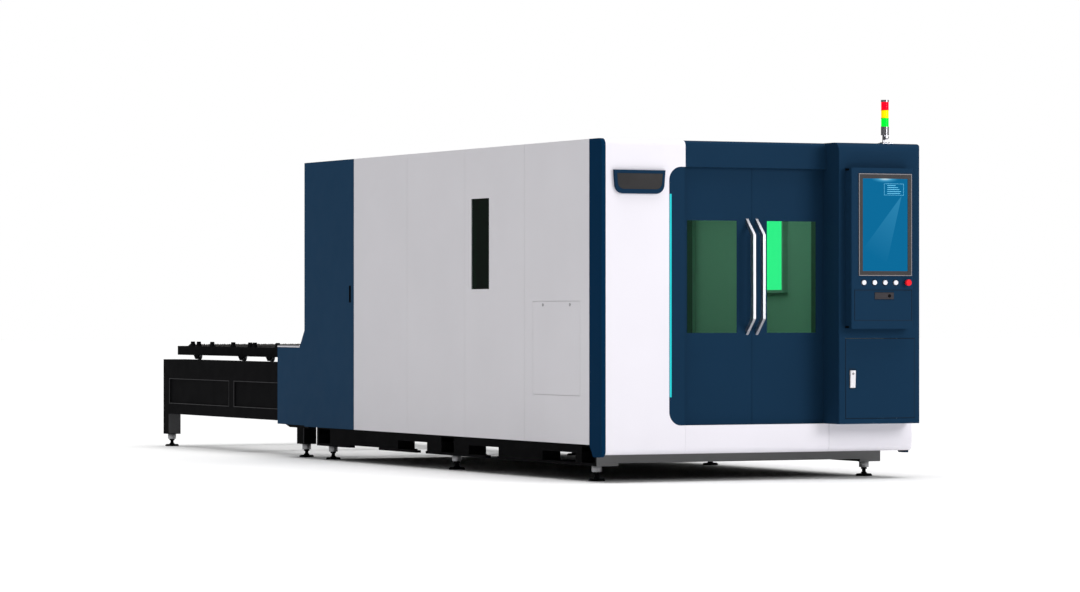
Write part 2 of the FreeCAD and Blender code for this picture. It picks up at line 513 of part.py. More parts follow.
# ---- console ---------------------------------------------------------------------------------
def console_pillar():
    """Hollow pillar with the lower cabinet, rounded along the top front and the right side."""
    shape = [(PIL_Y0, DOOR_Z0), (FRONT_D, DOOR_Z0), (FRONT_D, FRONT_Z1), (PIL_Y0, FRONT_Z1, 60)]
    plan = [(PIL_X0, PIL_Y0, 6), (PIL_X1, PIL_Y0, 30), (PIL_X1, FRONT_D), (PIL_X0, FRONT_D)]
    outer = prism(shape, "x", PIL_X0, PIL_X1).common(prism(plan, "z", DOOR_Z0, FRONT_Z1))
    t = SHEET
    core = [(PIL_Y0 + t, DOOR_Z0 + t), (FRONT_D + 1, DOOR_Z0 + t), (FRONT_D + 1, FRONT_Z1 - t),
            (PIL_Y0 + t, FRONT_Z1 - t, 57)]
    cplan = [(PIL_X0 + t, PIL_Y0 + t, 3), (PIL_X1 - t, PIL_Y0 + t, 27), (PIL_X1 - t, FRONT_D + 1),
             (PIL_X0 + t, FRONT_D + 1)]
    inner = prism(core, "x", PIL_X0, PIL_X1).common(prism(cplan, "z", DOOR_Z0, FRONT_Z1))
    shell = outer.cut(inner)
    shell = shell.cut(box(CAB_X0 - 2, CAB_X1, PIL_Y0 - 1, PIL_Y0 + 10, CAB_Z0 - 2, CAB_Z1 + 2))
    z = CAB_Z1 + 17
    ceiling = box(PIL_X0 + t, PIL_X1 - t, PIL_Y0 + 40, FRONT_D, z, z + t)
    lintel = box(PIL_X0 + t, PIL_X1 - t, PIL_Y0 + t, PIL_Y0 + 40, z, z + t).common(inner)
    return shell.fuse(ceiling).fuse(lintel).removeSplitter()


def console_housing():
    t, y1 = SHEET, PIL_Y0
    plan = [(CON_X0, CON_Y0, 8), (CON_X1, CON_Y0, 8), (CON_X1, y1), (CON_X0, y1)]
    core = [(CON_X0 + t, CON_Y0 + t, 5), (CON_X1 - t, CON_Y0 + t, 5), (CON_X1 - t, y1 + 1),
            (CON_X0 + t, y1 + 1)]
    shell = prism(plan, "z", CON_Z0, CON_Z1).cut(prism(core, "z", CON_Z0 + t, CON_Z1 - t))
    shell = shell.cut(box(FLAP_X0 - 2, FLAP_X1 + 2, CON_Y0 - 1, CON_Y0 + 9, FLAP_Z0, FLAP_Z1 + 2))
    shell = shell.cut(box(SCR[0] + 14, SCR[1] - 14, CON_Y0 - 1, CON_Y0 + 9, SCR[2] + 14, SCR[3] - 14))
    for x in BUTTONS_X:
        shell = shell.cut(rod(BUTTON_R + 1, 20, (x, CON_Y0 - 5, BUTTON_Z), (0, 1, 0)))
    shell = shell.cut(rod(12, 20, (STOP_X, CON_Y0 - 5, BUTTON_Z), (0, 1, 0)))
    shelf = box(CON_X0 + t, CON_X1 - t, CON_Y0 + t, y1, FLAP_Z0 - 4, FLAP_Z0 - 1)
    over = box(CON_X0 + t, CON_X1 - t, CON_Y0 + t, y1, FLAP_Z1 + 4, FLAP_Z1 + 7)
    return shell.fuse(shelf).fuse(over).removeSplitter()


def screen_bezel():
    y0 = CON_Y0 - 5
    rim = box(SCR[0], SCR[1], y0, CON_Y0, SCR[2], SCR[3])
    return rim.cut(box(DISP[0], DISP[1], y0 - 1, CON_Y0 + 1, DISP[2], DISP[3]))


def screen_panel():
    return box(SCR[0] + 16, SCR[1] - 16, CON_Y0, CON_Y0 + 14, SCR[2] + 16, SCR[3] - 16)


def push_button(x):
    cap = rod(BUTTON_R, 13, (x, CON_Y0 - 10, BUTTON_Z), (0, 1, 0))
    return cap.fuse(rod(BUTTON_R + 4, 4, (x, CON_Y0 + SHEET, BUTTON_Z), (0, 1, 0))).removeSplitter()


def emergency_stop():
    head = rod(STOP_R, 20, (STOP_X, CON_Y0 - STOP_OUT, BUTTON_Z), (0, 1, 0))
    neck = rod(11, STOP_OUT - 20 + SHEET, (STOP_X, CON_Y0 - STOP_OUT + 20, BUTTON_Z), (0, 1, 0))
    back = rod(16, 4, (STOP_X, CON_Y0 + SHEET, BUTTON_Z), (0, 1, 0))
    return head.fuse(neck).fuse(back).removeSplitter()


def keyboard_flap():
    """Fold-down keyboard shelf with a pocket for its latch."""
    flap = tray(FLAP_X0, FLAP_X1, CON_Y0, CON_Y0 + FLAP_T, FLAP_Z0, FLAP_Z1, "+y")
    flap = flap.cut(box(LATCH_X0 - 2, LATCH_X1 + 2, CON_Y0 - 1, CON_Y0 + 9, LATCH_Z0 - 2, LATCH_Z1 + 2))
    pan = tray(LATCH_X0 - 5, LATCH_X1 + 5, CON_Y0 + SHEET, CON_Y0 + 13, LATCH_Z0 - 5, LATCH_Z1 + 5, "-y")
    return flap.fuse(pan).removeSplitter()


def flap_latch():
    return box(LATCH_X0, LATCH_X1, CON_Y0 - 3, CON_Y0 + 10, LATCH_Z0, LATCH_Z1)


def cabinet_door():
    return tray(CAB_X0, CAB_X1, PIL_Y0, PIL_Y0 + CAB_T, CAB_Z0, CAB_Z1, "+y")


def cabinet_latch():
    x0, x1, z0, z1 = CAB_LATCH
    return prism([(PIL_Y0, z0), (PIL_Y0 - 9, z0, 4), (PIL_Y0 - 15, z1, 5), (PIL_Y0, z1)], "x", x0, x1)


def side_door(sign):
    """Service door over the rear bay, hinged at its rear edge, with a sunk pull."""
    leaf = tray(-HALF_W, -POST_OUT, SEAMS[4] + GAP, LIFT_Y0 - 1, PANEL_Z0, PANEL_Z1, "+x")
    leaf = leaf.cut(box(-HALF_W - 1, -HALF_W + 9, PULL_Y0, PULL_Y1, PULL_Z0, PULL_Z1))
    pull = tray(-HALF_W + SHEET, -HALF_W + 23, PULL_Y0 - 3, PULL_Y1 + 3, PULL_Z0 - 3, PULL_Z1 + 3, "-x")
    leaf = leaf.fuse(pull).removeSplitter()
    return leaf if sign < 0 else mirrored(leaf)


# ---- signal tower ----------------------------------------------------------------------------
def tower_base():
    x, y = TOWER_X, TOWER_Y
    plate = box(x - 35, x + 35, y - 35, y + 35, FRONT_Z1, FRONT_Z1 + 6)
    for s in (-1, 1):
        plate = plate.fuse(box(x - 10, x + 10, min(y + s * 13, y + s * 17), max(y + s * 13, y + s * 17),
                               FRONT_Z1 + 6, FOLD_Z + 8))
    return plate.fuse(rod(4, 34, (x, y - 17, FOLD_Z), (0, 1, 0))).removeSplitter()


def tower_mast():
    x, y = TOWER_X, TOWER_Y
    foot = box(x - 12, x + 12, y - 12.5, y + 12.5, FOLD_Z - 12, TIERS[0])
    foot = foot.cut(rod(4.4, 60, (x, y - 30, FOLD_Z), (0, 1, 0)))
    body, cap = tower_tier(0, TOWER_R), tower_tier(4, TOWER_R)
    return [foot.fuse(body).removeSplitter(), cap]


def tower_tier(number, radius=TOWER_R - 1):
    """One stage of the mast, counted from its body."""
    z0, z1 = TIERS[number], TIERS[number + 1]
    return rod(radius, z1 - z0, (TOWER_X, TOWER_Y, z0), (0, 0, 1))


# ---- gantry ----------------------------------------------------------------------------------
def gantry_beam():
    end, y0, y1 = GANTRY_X, GANTRY_Y0, GANTRY_Y1
    beam = [tube(-end, end, y0, y1, GANTRY_Z0, GANTRY_Z1, 10, "x")]
    beam += pair([box(-end - 6, -end, y0, y1, GANTRY_Z0, GANTRY_Z1),
                  box(10 - BEAM_OUT, -BEAM_IN - 12, y0 - 80, y1 + 80, GUIDE_Z1, GANTRY_Z0)])
    heights = (GANTRY_Z0 + 30, GANTRY_Z1 - 50)
    rails = [box(40 - end, end - 40, y0 - X_RAIL_T, y0, z, z + 20) for z in heights]
    return beam + rails


def head_carriage():
    y1, z0 = GANTRY_Y0 - X_RAIL_T, GANTRY_Z0
    plate = box(-140, 140, y1 - 18, y1, z0 + 15, z0 + 190)
    cover = box(-120, 120, y1 - 88, y1 - 18, z0 + 50, z0 + 370)
    rails = [box(x - 8, x + 8, y1 - 98, y1 - 88, z0 + 60, z0 + 360) for x in (-60.0, 60.0)]
    return [plate, cover] + rails


def cutting_head():
    y, z0 = GANTRY_Y0 - X_RAIL_T - 98, GANTRY_Z0
    back = box(-75, 75, y - 12, y, z0 + 110, z0 + 310)
    body = box(-45, 45, y - 92, y - 12, z0 + 110, z0 + 340)
    fibre = rod(20, 110, (0, y - 52, z0 + 340), (0, 0, 1))
    sensor = rod(32, 30, (0, y - 52, z0 + 80), (0, 0, 1))
    nozzle = Part.makeCone(5, 26, 80, V(0, y - 52, z0))
    return [back, body, fibre, sensor, nozzle]


# ---- pallets ---------------------------------------------------------------------------------
def pallet():
    """Rectangular frame with ledges for the slats and a pin for every wheel."""
    y0, y1, t = PAL_Y0, PAL_Y0 + PAL_LEN, PAL_T
    out, face, ledge = -PAL_HALF, t - PAL_HALF, SLAT_Z0 - LEDGE_T
    side = [box(out, face, y0, y1, PAL_Z0, PAL_Z1),
            box(face, -LEDGE_IN, y0 + t, y1 - t, ledge, SLAT_Z0)]
    for y in WHEELS:
        side.append(prism([(y - 56, PAL_Z0), (y - 20, EX_Z1 + 5), (y + 20, EX_Z1 + 5), (y + 56, PAL_Z0)],
                          "x", out, face))
        side.append(rod(PIN_R, 2 - WHEEL_X - face, (face, y, WHEEL_Z), (1, 0, 0)))
        side.append(rod(PIN_R + 5, 4, (-WHEEL_X + 2, y, WHEEL_Z), (1, 0, 0)))
    for y in BLOCKS:
        low, high = y0 + y - BLOCK_HALF, y0 + y + BLOCK_HALF
        side.append(prism([(low, PAL_Z1), (high, PAL_Z1), (high - 15, BLOCK_Z1), (low + 15, BLOCK_Z1)],
                          "x", out, out + 26))
    ends = [box(face, -face, y, y + t, PAL_Z0 + 3, PAL_Z1) for y in (y0, y1 - t)]
    cross = [tube(-LEDGE_IN, LEDGE_IN, y, y + 60, PAL_Z0 + 3, ledge, 4, "x")
             for y in (y0 + t, y0 + 780, y0 + 1590, y0 + 2400, y1 - t - 60)]
    inner = LEDGE_IN / 2
    bars = [box(x - 20, x + 20, y0 + t, y1 - t, ledge, SLAT_Z0) for x in (-inner, 0.0, inner)]
    return pair(side) + ends + cross + bars


def slats():
    """Saw-toothed support slats across the pallet."""
    half, out = PAL_HALF - 30, []
    count = int((PAL_LEN - 60) / SLAT_PITCH)
    first = PAL_Y0 + (PAL_LEN - (count - 1) * SLAT_PITCH) / 2
    top = []
    teeth = int(2 * half / TOOTH)
    start = -teeth * TOOTH / 2
    for k in range(teeth):
        top += [(start + (k + 0.15) * TOOTH, SLAT_ROOT), (start + (k + 0.5) * TOOTH, SLAT_TOP),
                (start + (k + 0.85) * TOOTH, SLAT_ROOT)]
    shape = [(half, SLAT_ROOT), (half, SLAT_Z0), (-half, SLAT_Z0), (-half, SLAT_ROOT)] + top
    for k in range(count):
        y = first + k * SLAT_PITCH
        out.append(prism(shape, "y", y - SLAT_T / 2, y + SLAT_T / 2))
    return out


def wheel_pair(y, bore):
    x0 = -WHEEL_X - WHEEL_W
    wheel = rod(WHEEL_R, WHEEL_W, (x0, y, WHEEL_Z), (1, 0, 0))
    wheel = wheel.cut(rod(bore, 2 * WHEEL_W, (x0 - 5, y, WHEEL_Z), (1, 0, 0)))
    return pair([wheel])


# ---- exchange table --------------------------------------------------------------------------
def exchange_frame():
    """Two side trusses, tied across at the bottom and back to the bed."""
    xo, xi = -EX_OUT, -EX_IN
    z0, z1 = EX_Z0 + EX_LOW, EX_Z1 - EX_HIGH
    side = [tube(xo, xi, EX_Y0, TOOL_Y1, z1, EX_Z1, 6, "y"),
            tube(xo, xi, ENC_Y, TOOL_Y1, EX_Z0, z0, 6, "y")]
    side += [tube(xo, xi, a, b, z0, z1, 6, "z") for a, b in EX_POSTS]
    side += [box(xo + 10, xo + 14, a[1], b[0], z0, z1) for a, b in zip(EX_POSTS, EX_POSTS[1:])]
    low, near, far = FAIR_Z0 - 24, ENC_Y + 60, FAIR_Y1 - 10
    bracket = [(near, low), (far - 100, low), (far, FAIR_Z0), (near, FAIR_Z0)]
    side.append(prism(bracket, "x", xo - 60, xo))
    side += [tube(xo, -EX_LEG_IN, a, b, LIP_Z + 10, EX_Z0, 6, "z") for a, b in EX_LEGS]
    side += [box(xo, -EX_LEG_IN, a, b, LIP_Z, LIP_Z + 10) for a, b in EX_LEGS]
    cross = [tube(xi, -xi, y, y + 80, EX_Z0, z0, 5, "x") for y in EX_TIES]
    return pair(side) + cross


# ---- write every piece -----------------------------------------------------------------------
export("bed_frame", bed_frame())
export("levelling_feet", levelling_feet())
export("guide_rails", guide_rails())
export("cabin_frame", cabin_frame())
export("left_panels", side_panels(-1))
export("right_panels", side_panels(1))
export("service_hatches", service_hatches())
export("side_glass", side_glass())
export("corner_trims", corner_trims())
export("front_left_panel", front_left_panel())
export("front_header", front_header())
export("front_skirts", front_skirts())
export("door_jamb", door_jamb())
export("led_strip", led_strip())
export("nameplate", nameplate())
export("door_tracks", door_tracks())
export("roof_panels", roof_panels())
export("rear_wall", rear_wall())
export("lift_door", lift_door())
export("laser_source", laser_source())
export("rear_fairings", rear_fairings())
for side, sign in (("left", -1), ("right", 1)):
    export(side + "_door", door(sign))
    export(side + "_door_glass", door_glass(sign))
    export(side + "_door_handle", door_handle(sign))
    export(side + "_rear_door", side_door(sign))
export("console_pillar", console_pillar())
export("console_housing", console_housing())
export("screen_bezel", screen_bezel())
export("screen_panel", screen_panel())
for number, x in enumerate(BUTTONS_X, 1):
    export("push_button_%d" % number, push_button(x))
export("emergency_stop", emergency_stop())
export("keyboard_flap", keyboard_flap())
export("flap_latch", flap_latch())
export("cabinet_door", cabinet_door())
export("cabinet_latch", cabinet_latch())
export("tower_base", tower_base())
export("tower_mast", tower_mast())
for number, colour in enumerate(("green", "amber", "red"), 1):
    export("tower_lens_" + colour, tower_tier(number))
export("gantry_beam", gantry_beam())
export("head_carriage", head_carriage())
export("cutting_head", cutting_head())
outer, teeth = pallet(), slats()
export("outer_pallet", outer)
export("outer_slats", teeth)
for number, y in enumerate(WHEELS, 1):
    export("outer_wheels_%d" % number, wheel_pair(y, PIN_R + RUN))
fixed_wheels = [w for y in WHEELS for w in wheel_pair(y, PIN_R)]
export("inner_pallet", moved(outer + fixed_wheels, 0, -PAL_TRAVEL, -LEVEL))
export("inner_slats", moved(teeth, 0, -PAL_TRAVEL, -LEVEL))
export("exchange_frame", exchange_frame())
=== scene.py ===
# %% [markdown]
# # Looks for a fiber laser cutting machine
# The machine's frame, doors and console come from its construction model, in metres, with +Z up and +Y
# from the operator's front to the exchange table. Blender adds the finishes and the small fittings.

# %% Load the frame
import bpy
import bmesh
import math
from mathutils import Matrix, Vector


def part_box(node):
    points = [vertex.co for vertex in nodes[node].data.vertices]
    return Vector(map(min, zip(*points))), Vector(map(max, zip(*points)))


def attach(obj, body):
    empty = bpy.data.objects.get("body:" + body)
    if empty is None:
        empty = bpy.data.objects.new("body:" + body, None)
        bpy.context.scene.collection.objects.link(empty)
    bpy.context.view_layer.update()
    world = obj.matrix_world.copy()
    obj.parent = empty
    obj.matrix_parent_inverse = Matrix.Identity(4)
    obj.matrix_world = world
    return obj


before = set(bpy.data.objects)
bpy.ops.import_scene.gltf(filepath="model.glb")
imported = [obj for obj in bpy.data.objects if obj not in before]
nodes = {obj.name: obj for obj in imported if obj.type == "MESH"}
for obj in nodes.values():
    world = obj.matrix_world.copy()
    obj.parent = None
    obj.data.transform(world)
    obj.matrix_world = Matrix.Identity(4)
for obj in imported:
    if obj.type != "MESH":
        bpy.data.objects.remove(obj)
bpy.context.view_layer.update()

MM = 0.001


def corners(node):
    """A node's lowest and highest corner."""
    return [Vector(c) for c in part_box(node)]


# %% [markdown]
# ## Camera
# The view is a long lens from the left front, at a standing person's chest height. The camera's place is
# counted from the front left corner of the cabin: so far back along the view, and a little to the left.
# A tiny upward pitch stands in for a shift.

# %% Camera
VIEW_YAW = math.radians(25.8)
VIEW_PITCH = math.radians(0.235)
VIEW_BACK, VIEW_LEFT, EYE_HEIGHT = 26.326, 0.394, 1.0907
LENS_MM = 137.33
ahead = Vector((math.sin(VIEW_YAW), math.cos(VIEW_YAW), 0))
right = Vector((math.cos(VIEW_YAW), -math.sin(VIEW_YAW), 0))
left_face_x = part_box("left_panels")[0][0]
front_face_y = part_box("front_left_panel")[0][1]
corner = Vector((left_face_x, front_face_y, 0))
eye = corner - VIEW_BACK * ahead - VIEW_LEFT * right + Vector((0, 0, EYE_HEIGHT))

bpy.ops.object.camera_add(location=eye, rotation=(math.pi / 2 + VIEW_PITCH, 0, -VIEW_YAW))
camera = bpy.context.object
camera.data.lens = LENS_MM
camera.data.clip_end = 300
bpy.context.scene.camera = camera
print("camera at", tuple(round(v, 3) for v in camera.location))

# %% [markdown]
# ## Light
# A studio shot on white: a very soft light from straight above whitens the floor and leaves a dark pool
# under the machine, a broad panel at the front right lifts the front covers and lets the console throw a
# soft shade on the doors, and the side lives on what the room gives back. The world is white where it is
# seen directly or through glass, and weaker where it lights or mirrors in a surface, so the dark paints
# stay dark.

# %% Light
ROOM_LEVEL = 0.22
FRONT_WATTS, CABIN_WATTS = 455, 9
scene = bpy.context.scene
scene.view_settings.view_transform = "Standard"
world = bpy.data.worlds.new("studio")
scene.world = world
world.use_nodes = True
sky = world.node_tree
backdrop = sky.nodes["Background"]
backdrop.inputs["Color"].default_value = (1, 1, 1, 1)
path = sky.nodes.new("ShaderNodeLightPath")
bounced = sky.nodes.new("ShaderNodeMath")
bounced.operation = "MAXIMUM"
level = sky.nodes.new("ShaderNodeMapRange")
level.inputs["To Min"].default_value = 1.0
level.inputs["To Max"].default_value = ROOM_LEVEL
mirrored_ray = sky.nodes.new("ShaderNodeMath")
mirrored_ray.operation = "SUBTRACT"
sky.links.new(path.outputs["Is Glossy Ray"], mirrored_ray.inputs[0])
sky.links.new(path.outputs["Is Transmission Ray"], mirrored_ray.inputs[1])
sky.links.new(path.outputs["Is Diffuse Ray"], bounced.inputs[0])
sky.links.new(mirrored_ray.outputs["Value"], bounced.inputs[1])
sky.links.new(bounced.outputs["Value"], level.inputs["Value"])
sky.links.new(level.outputs["Result"], backdrop.inputs["Strength"])

bpy.ops.object.light_add(type="SUN", location=(0, 0, 10))
overhead = bpy.context.object
overhead.data.energy = 3.05
overhead.data.angle = math.radians(64)


def soft_panel(place, target, size, size_y, energy):
    """A broad area light at a place, turned towards a target."""
    place, target = Vector(place), Vector(target)
    turn = (place - target).to_track_quat("Z", "Y").to_euler()
    bpy.ops.object.light_add(type="AREA", location=place, rotation=turn)
    light = bpy.context.object
    light.data.shape = "RECTANGLE"
    light.data.size = size
    light.data.size_y = size_y
    light.data.energy = energy
    return light


soft_panel((5.0, front_face_y - 8.5, 4.4), (0, front_face_y, 1.1), 4.5, 3.5, FRONT_WATTS)
soft_panel((0, front_face_y + 2.3, 2.05), (0, front_face_y + 2.3, 0), 1.6, 3.2, CABIN_WATTS)

# %% [markdown]
# ## Floor
# One large pale plane. It isn't part of the machine.

# %% Floor
def rig(name):
    """A new material's node tree and its main shader."""
    material = bpy.data.materials.new(name)
    material.use_nodes = True
    tree = material.node_tree
    return material, tree, tree.nodes["Principled BSDF"]


bpy.ops.mesh.primitive_plane_add(size=240, location=(0, 0, 0))
floor = bpy.context.object
floor.name = "floor"
pale, _, pale_shader = rig("pale_floor")
pale_shader.inputs["Base Color"].default_value = (0.96, 0.96, 0.96, 1)
pale_shader.inputs["Roughness"].default_value = 0.6
pale_shader.inputs["Specular IOR Level"].default_value = 0.2
floor.data.materials.append(pale)

# %% [markdown]
# ## Paint
# Powder coat has a fine orange peel and never one perfectly even tone. Object coordinates keep both in
# real millimetres on every cover: a small noise drives the bump, and a broad one shifts the tone by a
# percent or two.

# %% Paint recipe
def noise(tree, scale, detail=3.0, stretch=(1, 1, 1)):
    """A noise texture on the piece's own coordinates, in cells per metre."""
    place = tree.nodes.new("ShaderNodeTexCoord")
    mapping = tree.nodes.new("ShaderNodeMapping")
    mapping.inputs["Scale"].default_value = stretch
    texture = tree.nodes.new("ShaderNodeTexNoise")
    texture.inputs["Scale"].default_value = scale
    texture.inputs["Detail"].default_value = detail
    tree.links.new(place.outputs["Object"], mapping.inputs["Vector"])
    tree.links.new(mapping.outputs["Vector"], texture.inputs["Vector"])
    return texture


def vary(tree, shader, texture, socket, low, high):
    """The texture moves a shader value between low and high."""
    band = tree.nodes.new("ShaderNodeMapRange")
    band.inputs["From Min"].default_value = 0.3
    band.inputs["From Max"].default_value = 0.7
    band.inputs["To Min"].default_value = low
    band.inputs["To Max"].default_value = high
    tree.links.new(texture.outputs["Fac"], band.inputs["Value"])
    tree.links.new(band.outputs["Result"], shader.inputs[socket])


def tint(tree, shader, texture, dark, light):
    """The texture moves the base colour between two tones."""
    ramp = tree.nodes.new("ShaderNodeValToRGB")
    ramp.color_ramp.elements[0].position = 0.3
    ramp.color_ramp.elements[1].position = 0.7
    ramp.color_ramp.elements[0].color = (*dark, 1)
    ramp.color_ramp.elements[1].color = (*light, 1)
    tree.links.new(texture.outputs["Fac"], ramp.inputs["Fac"])
    tree.links.new(ramp.outputs["Color"], shader.inputs["Base Color"])


def bump(tree, shader, texture, depth, strength=0.4):
    """The texture raises the surface by up to depth metres."""
    relief = tree.nodes.new("ShaderNodeBump")
    relief.inputs["Distance"].default_value = depth
    relief.inputs["Strength"].default_value = strength
    tree.links.new(texture.outputs["Fac"], relief.inputs["Height"])
    tree.links.new(relief.outputs["Normal"], shader.inputs["Normal"])


def scaled(colour, factor):
    return tuple(min(1.0, c * factor) for c in colour)


def powder_coat(name, colour, rough=0.42, gloss=0.35, peel=1.0):
    material, tree, shader = rig(name)
    shader.inputs["Specular IOR Level"].default_value = gloss
    tint(tree, shader, noise(tree, 1.7, 2), scaled(colour, 0.985), scaled(colour, 1.015))
    vary(tree, shader, noise(tree, 9, 4), "Roughness", rough - 0.04, rough + 0.05)
    bump(tree, shader, noise(tree, 620, 2), 0.00006 * peel, 0.35)
    return material


cover_white = powder_coat("cover_white", (0.815, 0.79, 0.85), 0.42, 0.12)
# Painted shade: the side covers are the same white paint as the front ones; this darker copy stands in for
# the shade on the side faces.
side_white_painted_shade = powder_coat("side_white_painted_shade", (0.682, 0.669, 0.702), 0.45, 0.06)
front_navy = powder_coat("front_navy", (0.0077, 0.0292, 0.0635), 0.42, 0.01)
rear_navy = powder_coat("rear_navy", (0.0115, 0.0427, 0.092), 0.42, 0.01)
trim_navy = powder_coat("trim_navy", (0.0022, 0.0231, 0.0614), 0.42, 0.004)
frame_black = powder_coat("frame_black", (0.0042, 0.0042, 0.0048), 0.5, 0.006, 2.0)
beam_grey = powder_coat("beam_grey", (0.21, 0.21, 0.213), 0.5, 0.1)
leg_grey = powder_coat("leg_grey", (0.071, 0.071, 0.074), 0.5, 0.1)
cabin_grey = powder_coat("cabin_grey", (0.16, 0.16, 0.165), 0.55, 0.3)
gantry_white = powder_coat("gantry_white", (0.5, 0.51, 0.53), 0.4, 0.3)
shadow_black = powder_coat("shadow_black", (0.002, 0.002, 0.0025), 0.6, 0.02)
print("paints:", [m.name for m in bpy.data.materials if m.name.endswith(("white", "grey", "navy", "black"))])

# %% [markdown]
# ## Metal, glass and plastics
# Ground steel has streaks along its length, so its noise is stretched. The laser glass is a green filter:
# it lets green through and swallows the rest. Lamps and the light strip give light of their own.

# %% Metal, glass and plastics
def metal(name, colour, rough, streaks=(1, 1, 1), depth=0.00003):
    material, tree, shader = rig(name)
    shader.inputs["Metallic"].default_value = 1.0
    grain = noise(tree, 180, 5, streaks)
    tint(tree, shader, grain, scaled(colour, 0.88), scaled(colour, 1.08))
    vary(tree, shader, grain, "Roughness", rough - 0.06, rough + 0.1)
    bump(tree, shader, grain, depth, 0.3)
    return material


def plastic(name, colour, rough, gloss=0.5, grain_depth=0.00003):
    material, tree, shader = rig(name)
    shader.inputs["Specular IOR Level"].default_value = gloss
    tint(tree, shader, noise(tree, 14, 3), scaled(colour, 0.95), scaled(colour, 1.05))
    vary(tree, shader, noise(tree, 60, 3), "Roughness", rough - 0.03, rough + 0.06)
    bump(tree, shader, noise(tree, 900, 2), grain_depth, 0.3)
    return material


def lamp(name, colour, glow, rough=0.18, gloss=0.1):
    """A lit plastic lens."""
    material = plastic(name, colour, rough, gloss)
    shader = material.node_tree.nodes["Principled BSDF"]
    shader.inputs["Emission Color"].default_value = (*colour, 1)
    shader.inputs["Emission Strength"].default_value = glow
    return material


def filter_glass(name, colour, rough=0.02):
    material, tree, shader = rig(name)
    shader.inputs["Transmission Weight"].default_value = 1.0
    shader.inputs["IOR"].default_value = 1.12
    shader.inputs["Base Color"].default_value = (*colour, 1)
    vary(tree, shader, noise(tree, 5, 2), "Roughness", rough * 0.5, rough * 1.5)
    return material


ground_steel = metal("ground_steel", (0.50, 0.50, 0.52), 0.3, (1, 0.04, 1))
slat_steel = metal("slat_steel", (0.20, 0.19, 0.18), 0.5, (0.05, 1, 1), 0.00008)
turned_steel = metal("turned_steel", (0.42, 0.42, 0.43), 0.32, (0.2, 1, 1))
bright_chrome = metal("bright_chrome", (0.34, 0.34, 0.36), 0.14, (1, 1, 1), 0.00001)
satin_aluminium = metal("satin_aluminium", (0.62, 0.615, 0.65), 0.36, (1, 1, 0.04))
source_grey = powder_coat("source_grey", (0.30, 0.31, 0.33), 0.5, 0.3)
bezel_dark = plastic("bezel_dark", (0.042, 0.039, 0.040), 0.45, 0.1)
bezel_line = plastic("bezel_line", (0.23, 0.212, 0.222), 0.4, 0.1)
latch_dark = plastic("latch_dark", (0.040, 0.036, 0.040), 0.5, 0.08)
latch_light = plastic("latch_light", (0.76, 0.74, 0.77), 0.35)
# Painted light: the white buttons carry a faint glow of their own that lifts their faces.
button_white = lamp("button_white", (0.78, 0.79, 0.87), 0.04)
stop_red = plastic("stop_red", (0.78, 0.012, 0.022), 0.3, 0.12)
rubber = plastic("rubber", (0.012, 0.012, 0.013), 0.75, 0.3, 0.0001)
lens_red = lamp("lens_red", (0.95, 0.0, 0.012), 0.75)
lens_amber = lamp("lens_amber", (1.0, 0.65, 0.0), 0.65)
lens_green = lamp("lens_green", (0.0, 0.9, 0.03), 0.7)
light_strip = lamp("light_strip", (0.016, 0.46, 0.50), 0.30)
door_filter = filter_glass("door_filter", (0.33, 0.97, 0.55))
side_filter = filter_glass("side_filter", (0.09, 0.94, 0.46))


def darken_left(material, dark, clear):
    """The left side pane is tinted almost black, painted shade for the dim cabin seen through it; the far
    one is clear.
    """
    tree = material.node_tree
    place = tree.nodes.new("ShaderNodeTexCoord")
    parts = tree.nodes.new("ShaderNodeSeparateXYZ")
    panes = tree.nodes.new("ShaderNodeValToRGB")
    panes.color_ramp.interpolation = "CONSTANT"
    panes.color_ramp.elements[0].color = (*dark, 1)
    panes.color_ramp.elements[1].color = (*clear, 1)
    panes.color_ramp.elements[1].position = 0.5
    tree.links.new(place.outputs["Object"], parts.inputs["Vector"])
    tree.links.new(parts.outputs["X"], panes.inputs["Fac"])
    tree.links.new(panes.outputs["Color"], tree.nodes["Principled BSDF"].inputs["Base Color"])


# Painted shade: the near side pane's tint is nearly black, standing in for the unlit cabin behind it.
darken_left(side_filter, (0.005, 0.045, 0.018), (0.09, 0.94, 0.46))

# %% [markdown]
# ## Finishes on the construction pieces
# Each CAD piece keeps its shape and gets a finish in its own material slots. The list follows the real
# machine: navy for the doors, console and rear, white for the front covers, the same white painted darker
# for the sides as painted shade, black for the welded frames.

# %% Finish the construction pieces
finishes = {
    cover_white: ["front_left_panel", "front_skirts"],
    side_white_painted_shade: ["left_panels", "right_panels", "service_hatches"],
    front_navy: ["front_header", "door_jamb", "nameplate", "left_door", "right_door", "console_pillar",
                 "console_housing", "keyboard_flap", "cabinet_door"],
    rear_navy: ["rear_wall", "rear_fairings", "left_rear_door", "right_rear_door", "roof_panels"],
    trim_navy: ["corner_trims"],
    frame_black: ["bed_frame", "exchange_frame", "outer_pallet", "inner_pallet", "levelling_feet"],
    cabin_grey: ["cabin_frame", "lift_door"],
    gantry_white: ["gantry_beam", "head_carriage"],
    source_grey: ["laser_source", "cutting_head"],
    ground_steel: ["guide_rails", "door_tracks"],
    slat_steel: ["outer_slats", "inner_slats"],
    turned_steel: ["outer_wheels_%d" % k for k in (1, 2, 3, 4)],
    satin_aluminium: ["left_door_handle", "right_door_handle"],
    bright_chrome: ["tower_base", "tower_mast"],
    bezel_dark: ["screen_bezel"],
    latch_dark: ["flap_latch"],
    latch_light: ["cabinet_latch"],
    button_white: ["push_button_%d" % k for k in (1, 2, 3, 4)],
    stop_red: ["emergency_stop"],
    lens_red: ["tower_lens_red"],
    lens_amber: ["tower_lens_amber"],
    lens_green: ["tower_lens_green"],
    light_strip: ["led_strip"],
    door_filter: ["left_door_glass", "right_door_glass"],
    side_filter: ["side_glass"],
}


